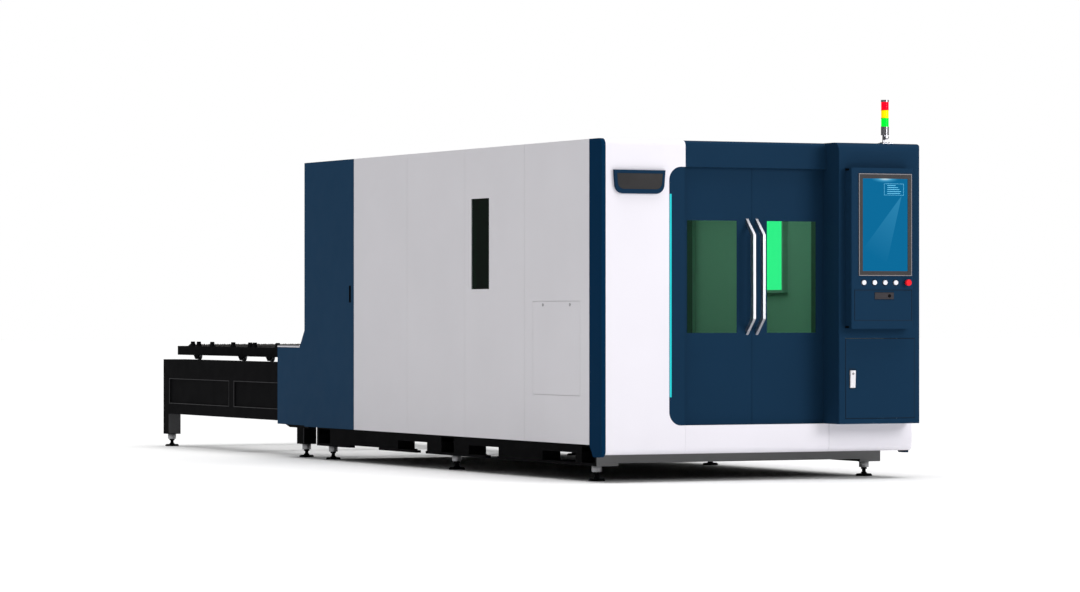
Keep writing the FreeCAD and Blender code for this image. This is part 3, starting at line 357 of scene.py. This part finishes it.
def finish(node, material):
    for place in nodes[node].material_slots:
        place.material = material


for material, names in finishes.items():
    for node in names:
        finish(node, material)
done = {n for names in finishes.values() for n in names}
print("still plain:", sorted(set(nodes) - done - {"screen_panel"}))

# %% [markdown]
# ## Screen
# The display glows by itself, so its picture is worked out on the screen's own coordinates: an even blue,
# a soft light at the top edge, and one faint beam that fans out towards the lower left. The beam is the
# part of the plane that lies within a set angle of a line, found by turning the coordinates.

# %% Screen picture
def maths(tree, operation, first, second=None, clamp=False):
    """One math node; each input is a socket or a number."""
    node = tree.nodes.new("ShaderNodeMath")
    node.operation = operation
    node.use_clamp = clamp
    for place, value in zip(node.inputs, (first, second)):
        if isinstance(value, (int, float)):
            place.default_value = value
        elif value is not None:
            tree.links.new(value, place)
    return node.outputs["Value"]


def plane_coordinates(tree, centre, turn):
    """Across and up from a point on the front, turned by an angle."""
    place = tree.nodes.new("ShaderNodeTexCoord")
    mapping = tree.nodes.new("ShaderNodeMapping")
    mapping.vector_type = "TEXTURE"
    mapping.inputs["Location"].default_value = centre
    mapping.inputs["Rotation"].default_value = (0, turn, 0)
    parts = tree.nodes.new("ShaderNodeSeparateXYZ")
    tree.links.new(place.outputs["Object"], mapping.inputs["Vector"])
    tree.links.new(mapping.outputs["Vector"], parts.inputs["Vector"])
    return parts.outputs["X"], parts.outputs["Z"]


BEZEL_SIDE, BEZEL_END = 29 * MM, 31 * MM
bezel_low, bezel_high = corners("screen_bezel")
shown_low = bezel_low + Vector((BEZEL_SIDE, 0, BEZEL_END))
shown_high = bezel_high - Vector((BEZEL_SIDE, 0, BEZEL_END))
shown = shown_high - shown_low
top_middle = Vector(((shown_low.x + shown_high.x) / 2, shown_low.y, shown_high.z))
screen_on, tree, shader = rig("screen_on")
shader.inputs["Base Color"].default_value = (0.002, 0.004, 0.006, 1)
shader.inputs["Specular IOR Level"].default_value = 0.01
shader.inputs["Emission Strength"].default_value = 1.0
vary(tree, shader, noise(tree, 30, 2), "Roughness", 0.12, 0.16)

across, up = plane_coordinates(tree, top_middle, 0)
glow_x = maths(tree, "MULTIPLY", across, 9.0)
glow_z = maths(tree, "MULTIPLY", up, 34.0)
squares = maths(tree, "ADD", maths(tree, "POWER", glow_x, 2.0), maths(tree, "POWER", glow_z, 2.0))
reach = maths(tree, "SQRT", squares)
glow = maths(tree, "POWER", maths(tree, "SUBTRACT", 1.0, reach, True), 1.6)

BEAM_TURN, BEAM_SPREAD = math.radians(27), math.tan(math.radians(12.8))
apex = Vector((top_middle.x + 0.37 * shown.x, shown_low.y, shown_high.z - 0.18 * shown.z))
side, along = plane_coordinates(tree, apex, BEAM_TURN)
down = maths(tree, "MULTIPLY", along, -1.0)
edge = maths(tree, "SUBTRACT", maths(tree, "MULTIPLY", down, BEAM_SPREAD), maths(tree, "ABSOLUTE", side))
inside = maths(tree, "MULTIPLY", edge, 900.0, True)
fade = maths(tree, "SUBTRACT", 1.0, maths(tree, "MULTIPLY", down, 2.2), True)
beam = maths(tree, "MULTIPLY", maths(tree, "MULTIPLY", inside, fade), 0.16)

light = maths(tree, "ADD", glow, beam, True)
blues = tree.nodes.new("ShaderNodeValToRGB")
blues.color_ramp.elements[0].color = (0.001, 0.143, 0.318, 1)
blues.color_ramp.elements[1].color = (0.75, 0.93, 1.0, 1)
blues.color_ramp.elements.new(0.35).color = (0.05, 0.34, 0.58, 1)
tree.links.new(light, blues.inputs["Fac"])
tree.links.new(blues.outputs["Color"], shader.inputs["Emission Color"])
finish("screen_panel", screen_on)
print("screen shows", [round(v, 3) for v in shown])

# %% [markdown]
# ## Making pieces
# Every small part starts as a block or a rod at its real place, with the place put into the mesh, and is
# then shaped. `settle` does what all of them need: it rounds the edges, smooths, gives the finish, and hands
# the piece to the body that it moves with.

# %% Piece helpers
def deselect():
    bpy.ops.object.select_all(action="DESELECT")


def settle(piece, material, body, edge=0.0, steps=2):
    """Round the edges, finish the surface and let the piece ride on a body."""
    if edge:
        bevel = piece.modifiers.new("edge", "BEVEL")
        bevel.width = edge
        bevel.segments = steps
        bevel.limit_method = "ANGLE"
        bpy.ops.object.modifier_apply(modifier="edge")
    bpy.ops.object.shade_smooth_by_angle(angle=math.radians(35))
    piece.data.materials.append(material)
    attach(piece, body)
    return piece


def block(name, low, high):
    """A box between two corners."""
    low, high = Vector(low), Vector(high)
    deselect()
    bpy.ops.mesh.primitive_cube_add(size=1, location=(low + high) / 2)
    piece = bpy.context.object
    piece.name = name
    piece.scale = high - low
    bpy.ops.object.transform_apply(location=True, rotation=True, scale=True)
    return piece


def rod(name, radius, start, end, sides=40):
    """A round bar from one point to another."""
    start, end = Vector(start), Vector(end)
    deselect()
    turn = (end - start).to_track_quat("Z", "Y").to_euler()
    bpy.ops.mesh.primitive_cylinder_add(vertices=sides, radius=radius, depth=(end - start).length,
                                        location=(start + end) / 2, rotation=turn)
    piece = bpy.context.object
    piece.name = name
    bpy.ops.object.transform_apply(location=True, rotation=True, scale=True)
    return piece


def pick_faces(piece, test):
    """Edit mode, with only the faces that pass the test selected."""
    bpy.ops.object.mode_set(mode="EDIT")
    bpy.ops.mesh.select_mode(type="FACE")
    bpy.ops.mesh.select_all(action="DESELECT")
    mesh = bmesh.from_edit_mesh(piece.data)
    for face in mesh.faces:
        face.select_set(test(face))
    bmesh.update_edit_mesh(piece.data)


def pick_edges(piece, test):
    bpy.ops.object.mode_set(mode="EDIT")
    bpy.ops.mesh.select_mode(type="EDGE")
    bpy.ops.mesh.select_all(action="DESELECT")
    mesh = bmesh.from_edit_mesh(piece.data)
    for edge in mesh.edges:
        edge.select_set(test(edge))
    bmesh.update_edit_mesh(piece.data)


def leave_edit():
    bpy.ops.object.mode_set(mode="OBJECT")


def panel_frame(name, low, high, border, normal=(0, 1, 0)):
    """A flat frame: a block whose two broad faces are inset and bridged through."""
    piece = block(name, low, high)
    axis = Vector(normal)
    pick_faces(piece, lambda face: abs(face.normal.dot(axis)) > 0.9)
    bpy.ops.mesh.inset(thickness=border)
    bpy.ops.mesh.bridge_edge_loops()
    leave_edit()
    return piece


def ring(name, outer, inner, start, end, sides=48):
    """A collar: a rod whose ends are inset and bridged through."""
    piece = rod(name, outer, start, end, sides)
    axis = (Vector(end) - Vector(start)).normalized()
    pick_faces(piece, lambda face: abs(face.normal.dot(axis)) > 0.9)
    bpy.ops.mesh.inset(thickness=outer - inner)
    bpy.ops.mesh.bridge_edge_loops()
    leave_edit()
    return piece


def repeated(piece, name, body, step=(0, 0, 0), scale_x=1):
    """A copy with its own mesh, moved or mirrored, riding on its own body."""
    deselect()
    piece.select_set(True)
    bpy.context.view_layer.objects.active = piece
    bpy.ops.object.duplicate(linked=False)
    copy = bpy.context.object
    copy.name = name
    copy.location = step
    copy.scale.x = scale_x
    bpy.ops.object.transform_apply(location=True, rotation=False, scale=True)
    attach(copy, body)
    return copy


def mirrored(piece, name, body):
    """A copy on the machine's other side, with its faces turned out again."""
    copy = repeated(piece, name, body, scale_x=-1)
    bpy.ops.object.mode_set(mode="EDIT")
    bpy.ops.mesh.select_all(action="SELECT")
    bpy.ops.mesh.normals_make_consistent(inside=False)
    leave_edit()
    return copy


print("helpers ready")

# %% [markdown]
# ## Nameplate field
# The badge on the white cover has a dark field set into its navy rim. It is left bare. The field follows
# the rim: a little narrower below, with large lower corners, made by scaling the lower edge and beveling
# the two corner edges.

# %% Nameplate field
rim_low, rim_high = corners("nameplate")
plate_grey = plastic("plate_grey", (0.036, 0.0345, 0.0355), 0.5, 0.06)
FIELD_SIDE, FIELD_TOP, FIELD_LOW = 20 * MM, 22 * MM, 29 * MM
field = block("nameplate_field", (rim_low.x + FIELD_SIDE, rim_low.y + 0.5 * MM, rim_low.z + FIELD_LOW),
              (rim_high.x - FIELD_SIDE, rim_low.y + 3 * MM, rim_high.z - FIELD_TOP))
field_middle = (rim_low + rim_high) / 2
pick_faces(field, lambda face: face.normal.z < -0.9)
bpy.ops.transform.resize(value=(0.95, 1, 1), center_override=field_middle)
pick_edges(field, lambda edge: abs((edge.verts[0].co - edge.verts[1].co).normalized().y) > 0.9
           and edge.verts[0].co.z < field_middle.z)
bpy.ops.mesh.bevel(offset=39 * MM, segments=10, affect="EDGES")
leave_edit()
settle(field, plate_grey, "machine", 0.4 * MM)
print("field height", round(rim_high.z - rim_low.z - FIELD_TOP - FIELD_LOW, 3))

# %% [markdown]
# ## Console details
# A light line runs round the screen's bezel. On the screen lies a small read-out card of plain bars, with no
# lettering. The housing has dark ends on its left, a key lock sits in the flap's latch, and each button
# has a thin collar, near black both in its own tone and as painted shade round the button.

# %% Console details
card_light = lamp("card_light", (0.10, 0.40, 0.58), 0.7)
# collar_dark is near black; on the button collars it is partly the collars' own tone and partly painted
# shade round each button.
collar_dark = plastic("collar_dark", (0.006, 0.010, 0.016), 0.4, 0.1)
line = panel_frame("bezel_line", bezel_low - Vector((0, 1 * MM, 0)),
                   (bezel_high.x, bezel_low.y + 1 * MM, bezel_high.z), 5 * MM)
settle(line, bezel_line, "machine", 0.4 * MM)

card_left, card_right = top_middle.x - 0.02 * shown.x, shown_high.x - 0.09 * shown.x
card_top, card_low = shown_high.z - 0.055 * shown.z, shown_high.z - 0.18 * shown.z
glass_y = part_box("screen_panel")[0][1]
card = panel_frame("card_outline", (card_left, glass_y - 0.6 * MM, card_low),
                   (card_right, glass_y, card_top), 1.6 * MM)
settle(card, card_light, "machine", 0.2 * MM)
card_width = card_right - card_left
for k, share in enumerate((0.42, 0.55, 0.62, 0.7, 0.66)):
    z = card_top - (0.16 + 0.17 * k) * (card_top - card_low)
    bar = block("card_bar_%d" % (k + 1), (card_left + 0.16 * card_width, glass_y - 0.6 * MM, z - 1.6 * MM),
                (card_left + (0.16 + share) * card_width, glass_y, z + 1.6 * MM))
    settle(bar, card_light, "machine", 0.3 * MM)

case_low, case_high = corners("console_housing")
for name, z0 in (("housing_end_low", case_low.z + 5 * MM), ("housing_end_high", case_high.z - 18 * MM)):
    cap = block(name, (case_low.x - 1.5 * MM, case_low.y + 30 * MM, z0),
                (case_low.x + 1 * MM, case_high.y - 4 * MM, z0 + 13 * MM))
    settle(cap, shadow_black, "machine", 0.6 * MM)

# Painted shade: each button's collar is near black, partly its own tone and partly the shade round the
# button.
low, high = corners("push_button_1")
middle = (low + high) / 2
collar = ring("button_collar_1", 20.5 * MM, 16.2 * MM, (middle.x, case_low.y - 2.5 * MM, middle.z),
              (middle.x, case_low.y + 0.5 * MM, middle.z))
settle(collar, collar_dark, "machine", 0.6 * MM)
for k in (2, 3, 4):
    step = Vector(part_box("push_button_%d" % k)[0]) - low
    repeated(collar, "button_collar_%d" % k, "machine", step)
low, high = corners("emergency_stop")
middle = (low + high) / 2
seat = ring("stop_collar", 17 * MM, 12 * MM, (middle.x, case_low.y - 5 * MM, middle.z),
            (middle.x, case_low.y + 0.5 * MM, middle.z))
settle(seat, collar_dark, "machine", 1 * MM)
grip = ring("stop_grip", 20.3 * MM, 15.5 * MM, (middle.x, low.y - 0.4 * MM, middle.z),
            (middle.x, low.y + 6 * MM, middle.z))
settle(grip, stop_red, "emergency_stop", 1.5 * MM, 3)

low, high = corners("flap_latch")
key_x, key_z = low.x + 0.77 * (high.x - low.x), (low.z + high.z) / 2
key = ring("latch_lock", 10.5 * MM, 2.2 * MM, (key_x, low.y - 2.5 * MM, key_z),
           (key_x, low.y + 1 * MM, key_z))
settle(key, shadow_black, "flap_latch", 0.7 * MM)
lip = block("latch_lip", (low.x + 10 * MM, low.y - 1.5 * MM, low.z + 4 * MM),
            (key_x - 16 * MM, low.y + 0.5 * MM, low.z + 10 * MM))
settle(lip, latch_dark, "flap_latch", 1 * MM)

low, high = corners("cabinet_latch")
lock_x = (low.x + high.x) / 2
lock_z = high.z - 22 * MM
lock_eye = ring("cabinet_lock", 7.5 * MM, 2 * MM, (lock_x, low.y - 1 * MM, lock_z),
                (lock_x, low.y + 4 * MM, lock_z))
settle(lock_eye, bezel_line, "cabinet_latch", 0.7 * MM)
tray_low = (low.x - 4 * MM, high.y - 1.6 * MM, low.z - 5 * MM)
tray_high = (high.x + 4 * MM, high.y, high.z + 11 * MM)
surround = panel_frame("cabinet_latch_surround", tray_low, tray_high, 3.4 * MM)
settle(surround, collar_dark, "cabinet_door", 0.6 * MM)
door_low, door_high = corners("cabinet_door")
flap_low, flap_high = corners("keyboard_flap")
for name, low, high, body in (("flap_gasket", flap_low, flap_high, "keyboard_flap"),
                              ("cabinet_gasket", door_low, door_high, "cabinet_door")):
    gasket = panel_frame(name, (low.x, low.y - 0.4 * MM, low.z), (high.x, low.y + 2 * MM, high.z), 2.2 * MM)
    settle(gasket, collar_dark, body, 0.3 * MM)

# %% [markdown]
# ## Keyboard
# A plain industrial keyboard is fixed behind the fold-down shelf, so it comes out flat with it. One key is
# modelled, with its top face inset and lifted, and copied along the rows. No key has a letter.

# %% Keyboard
board_back = flap_high.y - 1 * MM
board_low = Vector((flap_low.x + 46 * MM, board_back, flap_low.z + 24 * MM))
board_high = Vector((flap_high.x - 46 * MM, board_back + 14 * MM, flap_low.z + 126 * MM))
board = block("keyboard_body", board_low, board_high)
pick_faces(board, lambda face: face.normal.y > 0.9)
bpy.ops.mesh.inset(thickness=5 * MM)
bpy.ops.transform.translate(value=(0, -2 * MM, 0))
leave_edit()
settle(board, bezel_dark, "keyboard_flap", 1.5 * MM)

COLUMNS, ROWS, KEY_GAP = 15, 5, 2.4 * MM
bed = board_high - board_low - Vector((14 * MM, 0, 14 * MM))
pitch_x, pitch_z = bed.x / COLUMNS, bed.z / ROWS
first_key = board_low + Vector((7 * MM, 0, 7 * MM))
one = block("key", (first_key.x, board_high.y - 3 * MM, first_key.z),
            (first_key.x + pitch_x - KEY_GAP, board_high.y + 2 * MM, first_key.z + pitch_z - KEY_GAP))
pick_faces(one, lambda face: face.normal.y > 0.9)
bpy.ops.mesh.inset(thickness=1.6 * MM)
bpy.ops.transform.translate(value=(0, 2 * MM, 0))
leave_edit()
settle(one, latch_dark, "keyboard_flap")
keys = [one]
for place in range(1, COLUMNS * ROWS):
    column, row = divmod(place, ROWS)
    step = (column * pitch_x, 0, row * pitch_z)
    keys.append(repeated(one, "key_%d" % place, "keyboard_flap", step))
deselect()
for piece in keys:
    piece.select_set(True)
bpy.context.view_layer.objects.active = keys[0]
bpy.ops.object.join()
bpy.context.object.name = "keyboard_keys"
print("keys:", COLUMNS * ROWS)

# %% [markdown]
# ## Cover details
# Two socket screws hold each side hatch. The sunk pull of each rear door is lined with black plates, painted
# shade for its recess. Rubber seals close the seam between the sliding doors.

# %% Cover details
screw_steel = metal("screw_steel", (0.32, 0.32, 0.33), 0.35)
hatch_low, hatch_high = corners("service_hatches")
screw_y, screw_z = (hatch_low.y + 146 * MM, hatch_high.y - 155 * MM), hatch_high.z - 23 * MM
head = ring("hatch_screw_1", 9.5 * MM, 4 * MM, (hatch_low.x - 1.2 * MM, screw_y[0], screw_z),
            (hatch_low.x + 2 * MM, screw_y[0], screw_z), 32)
settle(head, screw_steel, "machine", 0.8 * MM)
second_head = repeated(head, "hatch_screw_2", "machine", (0, screw_y[1] - screw_y[0], 0))
mirrored(head, "hatch_screw_3", "machine")
mirrored(second_head, "hatch_screw_4", "machine")

door_low, door_high = corners("left_rear_door")
PULL_BACK, PULL_WIDE = 52 * MM, 28 * MM
pull_z = (door_low.z + 927 * MM, door_low.z + 1045 * MM)
pull_y = door_low.y + PULL_BACK
# Painted shade: black plates line the sunk pull, standing in for the shade in its recess.
pull = panel_frame("left_pull_rim", (door_low.x - 1.5 * MM, pull_y + 1 * MM, pull_z[0] - 3 * MM),
                   (door_low.x + 12 * MM, pull_y + PULL_WIDE + 5 * MM, pull_z[1] + 3 * MM),
                   4.5 * MM, (1, 0, 0))
settle(pull, shadow_black, "left_rear_door", 1 * MM)
mirrored(pull, "right_pull_rim", "right_rear_door")
floor_plate = block("left_pull_back", (door_low.x + 12 * MM, pull_y - 2 * MM, pull_z[0] - 2 * MM),
                    (door_low.x + 19 * MM, pull_y + PULL_WIDE + 8 * MM, pull_z[1] + 2 * MM))
pick_faces(floor_plate, lambda face: face.normal.x < -0.9)
bpy.ops.mesh.inset(thickness=4 * MM)
bpy.ops.transform.translate(value=(3 * MM, 0, 0))
leave_edit()
settle(floor_plate, shadow_black, "left_rear_door", 0.8 * MM)
mirrored(floor_plate, "right_pull_back", "right_rear_door")

SEAL_PROUD = 0.8 * MM
for side in ("left", "right"):
    low, high = corners(side + "_door")
    x = high.x if side == "left" else low.x
    proud = x + (SEAL_PROUD if side == "left" else -SEAL_PROUD)
    seal = block(side + "_door_seal", (min(x, proud), low.y + 5 * MM, low.z + 2 * MM),
                 (max(x, proud), low.y + 16 * MM, high.z - 2 * MM))
    pick_faces(seal, lambda face: face.normal.y < -0.9)
    bpy.ops.mesh.inset(thickness=0.2 * MM)
    leave_edit()
    settle(seal, rubber, side + "_door")
print("pull from", [round(v, 3) for v in pull_z])

# %% [markdown]
# ## Rear fairing strips and painted frame highlights
# A rounded silver strip caps each rear fairing. Thin lighter bars round the two fields of the table's black
# side frames and along the legs are painted highlights, where the edges catch the light; each is a slim bar.

# %% Fairing strips and frame edges
# Painted highlight: a lighter grey for thin bars on the black frame's edges, standing in for the light
# caught there.
edge_highlight_grey = powder_coat("edge_highlight_grey", (0.052, 0.052, 0.055), 0.45, 0.02)
fair_low, fair_high = corners("rear_fairings")
fair_top = fair_low.z + 594 * MM
cabin_end_y = fair_low.y
strip = block("left_fairing_strip", (fair_low.x - 3 * MM, fair_low.y + 104 * MM, fair_top - 13 * MM),
              (fair_low.x + 42 * MM, fair_high.y + 1 * MM, fair_top + 3 * MM))
settle(strip, satin_aluminium, "machine", 6 * MM, 4)
mirrored(strip, "right_fairing_strip", "machine")

table_low, table_high = corners("exchange_frame")
FIELD_Z = (table_low.z + 252 * MM, table_low.z + 457 * MM)
POST_FAR, POST_MID, FIELD_NEAR = 133 * MM, 1463 * MM, 2620 * MM
FIELDS = ((table_high.y - POST_MID, table_high.y - POST_FAR),
          (table_high.y - FIELD_NEAR, table_high.y - POST_MID - 98 * MM))
EDGE = 5 * MM
frame_x = -1030 * MM
for count, (near, far) in enumerate(FIELDS, 1):
    edging = panel_frame("left_field_edge_%d" % count, (frame_x - 1.2 * MM, near, FIELD_Z[0]),
                         (frame_x + 6 * MM, far, FIELD_Z[1]), EDGE, (1, 0, 0))
    settle(edging, edge_highlight_grey, "machine", 0.8 * MM)
    mirrored(edging, "right_field_edge_%d" % count, "machine")
far_leg = block("left_leg_face", (frame_x, table_high.y - 120.8 * MM, table_low.z + 4 * MM),
                (frame_x + 104 * MM, table_high.y - 120 * MM, table_low.z + 165 * MM))
pick_faces(far_leg, lambda face: face.normal.y < -0.9)
bpy.ops.mesh.inset(thickness=5 * MM)
leave_edit()
settle(far_leg, leg_grey, "machine", 0.3 * MM)
mirrored(far_leg, "right_leg_face", "machine")
near_leg_y = cabin_end_y + 303 * MM
# Painted highlight: a light line down the near leg's corner.
leg_edge = block("left_leg_edge", (frame_x - 1 * MM, near_leg_y - 1 * MM, table_low.z + 2 * MM),
                 (frame_x + 5 * MM, near_leg_y + 5 * MM, table_low.z + 160 * MM))
settle(leg_edge, edge_highlight_grey, "machine", 1.5 * MM, 3)
mirrored(leg_edge, "right_leg_edge", "machine")
print("fields:", len(FIELDS))

# %% [markdown]
# ## Feet and front beam
# Below every leg a bright boss takes the levelling stud. The front beam's face is a lighter grey than the
# black frame behind it, so a thin inset plate covers it.

# %% Feet and front beam
BOSS_LOW, BOSS_HIGH = 60 * MM, 100 * MM
foot_rows = [(1000 * MM, front_face_y + y * MM) for y in (370, 2545, 4750)]
foot_rows += [(978 * MM, front_face_y + y * MM) for y in (5319, 8191)]
first_x, first_y = foot_rows[0]
boss = ring("left_foot_boss_1", 33 * MM, 31 * MM, (-first_x, first_y, BOSS_LOW - 1 * MM),
            (-first_x, first_y, BOSS_HIGH - 0.5 * MM), 36)
settle(boss, screw_steel, "machine", 0.8 * MM)
mirrored(boss, "right_foot_boss_1", "machine")
for k, (x, y) in enumerate(foot_rows[1:], 2):
    left_boss = repeated(boss, "left_foot_boss_%d" % k, "machine", (first_x - x, y - first_y, 0))
    mirrored(left_boss, "right_foot_boss_%d" % k, "machine")

bed_low, bed_high = corners("bed_frame")
beam_face = block("front_beam_face", (bed_low.x, bed_low.y - 1.5 * MM, bed_low.z + 18 * MM),
                  (bed_high.x, bed_low.y, bed_low.z + 140 * MM))
pick_faces(beam_face, lambda face: face.normal.y < -0.9)
bpy.ops.mesh.inset(thickness=6 * MM)
leave_edit()
settle(beam_face, beam_grey, "machine", 0.5 * MM)
for side, x0 in (("left", bed_low.x), ("right", bed_high.x - 157 * MM)):
    foot_plate = block(side + "_beam_end", (x0, bed_low.y - 1.5 * MM, bed_low.z),
                       (x0 + 157 * MM, bed_low.y, bed_low.z + 18 * MM))
    settle(foot_plate, beam_grey, "machine", 0.4 * MM)
print("feet:", 2 * len(foot_rows))

# %% [markdown]
# ## Inside the cabin
# Two light tubes hang under the roof. On the gantry ride its drive motor and a cable chain made of repeated
# links. The cutting head ends in a copper nozzle, turned from a cone.

# %% Inside the cabin
tube_light = lamp("tube_light", (0.9, 0.95, 1.0), 2.2)
copper = metal("copper", (0.72, 0.30, 0.16), 0.3)
chain_black = plastic("chain_black", (0.012, 0.012, 0.013), 0.5, 0.3)
roof_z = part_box("roof_panels")[0][2]
TUBE_X, TUBE_FROM, TUBE_TO = 0.55, front_face_y + 0.45, front_face_y + 1.75
tube_z = roof_z - 76 * MM
tube = rod("left_light_tube", 14 * MM, (-TUBE_X, TUBE_FROM, tube_z), (-TUBE_X, TUBE_TO, tube_z), 24)
settle(tube, tube_light, "machine", 3 * MM)
mirrored(tube, "right_light_tube", "machine")
shade = block("left_light_shade", (-TUBE_X - 32 * MM, TUBE_FROM - 30 * MM, roof_z - 62 * MM),
              (-TUBE_X + 32 * MM, TUBE_TO + 30 * MM, roof_z - 50 * MM))
settle(shade, gantry_white, "machine", 2 * MM)
mirrored(shade, "right_light_shade", "machine")

beam_low, beam_high = corners("gantry_beam")
motor = block("gantry_motor", (0.62, beam_high.y - 190 * MM, beam_high.z),
              (0.74, beam_high.y - 90 * MM, beam_high.z + 150 * MM))
settle(motor, chain_black, "gantry", 6 * MM, 3)
LINKS, LINK, PITCH = 34, 26 * MM, 27.3 * MM
CHAIN_X = -0.86
link = block("chain_link_1", (CHAIN_X, beam_low.y + 110 * MM, beam_high.z + 2 * MM),
             (CHAIN_X + LINK, beam_low.y + 190 * MM, beam_high.z + 38 * MM))
settle(link, chain_black, "gantry", 5 * MM)
links = [link]
for k in range(1, LINKS):
    links.append(repeated(link, "chain_link_%d" % (k + 1), "gantry", (k * PITCH, 0, 0)))
deselect()
for piece in links:
    piece.select_set(True)
bpy.context.view_layer.objects.active = link
bpy.ops.object.join()
link.name = "cable_chain"
carriage_low, carriage_high = corners("head_carriage")
drive = rod("head_motor", 38 * MM, (0, carriage_low.y + 50 * MM, carriage_high.z),
            (0, carriage_low.y + 50 * MM, carriage_high.z + 130 * MM))
settle(drive, chain_black, "head_carriage", 4 * MM, 3)
head_low = corners("cutting_head")[0]
tip_y = head_low.y + 40 * MM
head_collar = ring("head_collar", 40 * MM, 33 * MM, (0, tip_y, head_low.z + 84 * MM),
                   (0, tip_y, head_low.z + 104 * MM))
settle(head_collar, satin_aluminium, "cutting_head", 2 * MM)
nozzle = ring("copper_nozzle", 13 * MM, 9 * MM, (0, tip_y, head_low.z + 8 * MM),
              (0, tip_y, head_low.z + 26 * MM), 32)
pick_faces(nozzle, lambda face: face.normal.z < -0.9)
bpy.ops.transform.resize(value=(0.62, 0.62, 1), center_override=(0, tip_y, head_low.z + 8 * MM))
leave_edit()
settle(nozzle, copper, "cutting_head", 0.8 * MM)
print("chain links:", LINKS)

# %% [markdown]
# ## Signal tower
# A dark ring parts each lens from the next, and the folding foot has a knurled clamp knob.

# %% Signal tower
green_low, green_high = corners("tower_lens_green")
middle = (green_low + green_high) / 2
parting = ring("tower_ring_green", 26 * MM, 23 * MM, (middle.x, middle.y, green_low.z - 1.2 * MM),
               (middle.x, middle.y, green_low.z + 1.2 * MM))
settle(parting, shadow_black, "tower_mast", 0.5 * MM)
for name in ("amber", "red"):
    step = Vector(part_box("tower_lens_" + name)[0]) - green_low
    repeated(parting, "tower_ring_" + name, "tower_mast", step)
mast_low, mast_high = corners("tower_mast")
fold_z = mast_low.z + 12 * MM
mast_x, mast_y = (mast_low.x + mast_high.x) / 2, (mast_low.y + mast_high.y) / 2
knob = rod("tower_knob", 13 * MM, (mast_x, mast_y - 30 * MM, fold_z),
           (mast_x, mast_y - 17.5 * MM, fold_z), 18)
settle(knob, bright_chrome, "machine", 1.2 * MM)
flange = ring("tower_flange", 34 * MM, 15 * MM, (mast_x, mast_y, mast_low.z - 23 * MM),
              (mast_x, mast_y, mast_low.z - 19 * MM))
settle(flange, bright_chrome, "machine", 1 * MM)
print("tower fold at", round(fold_z, 3))
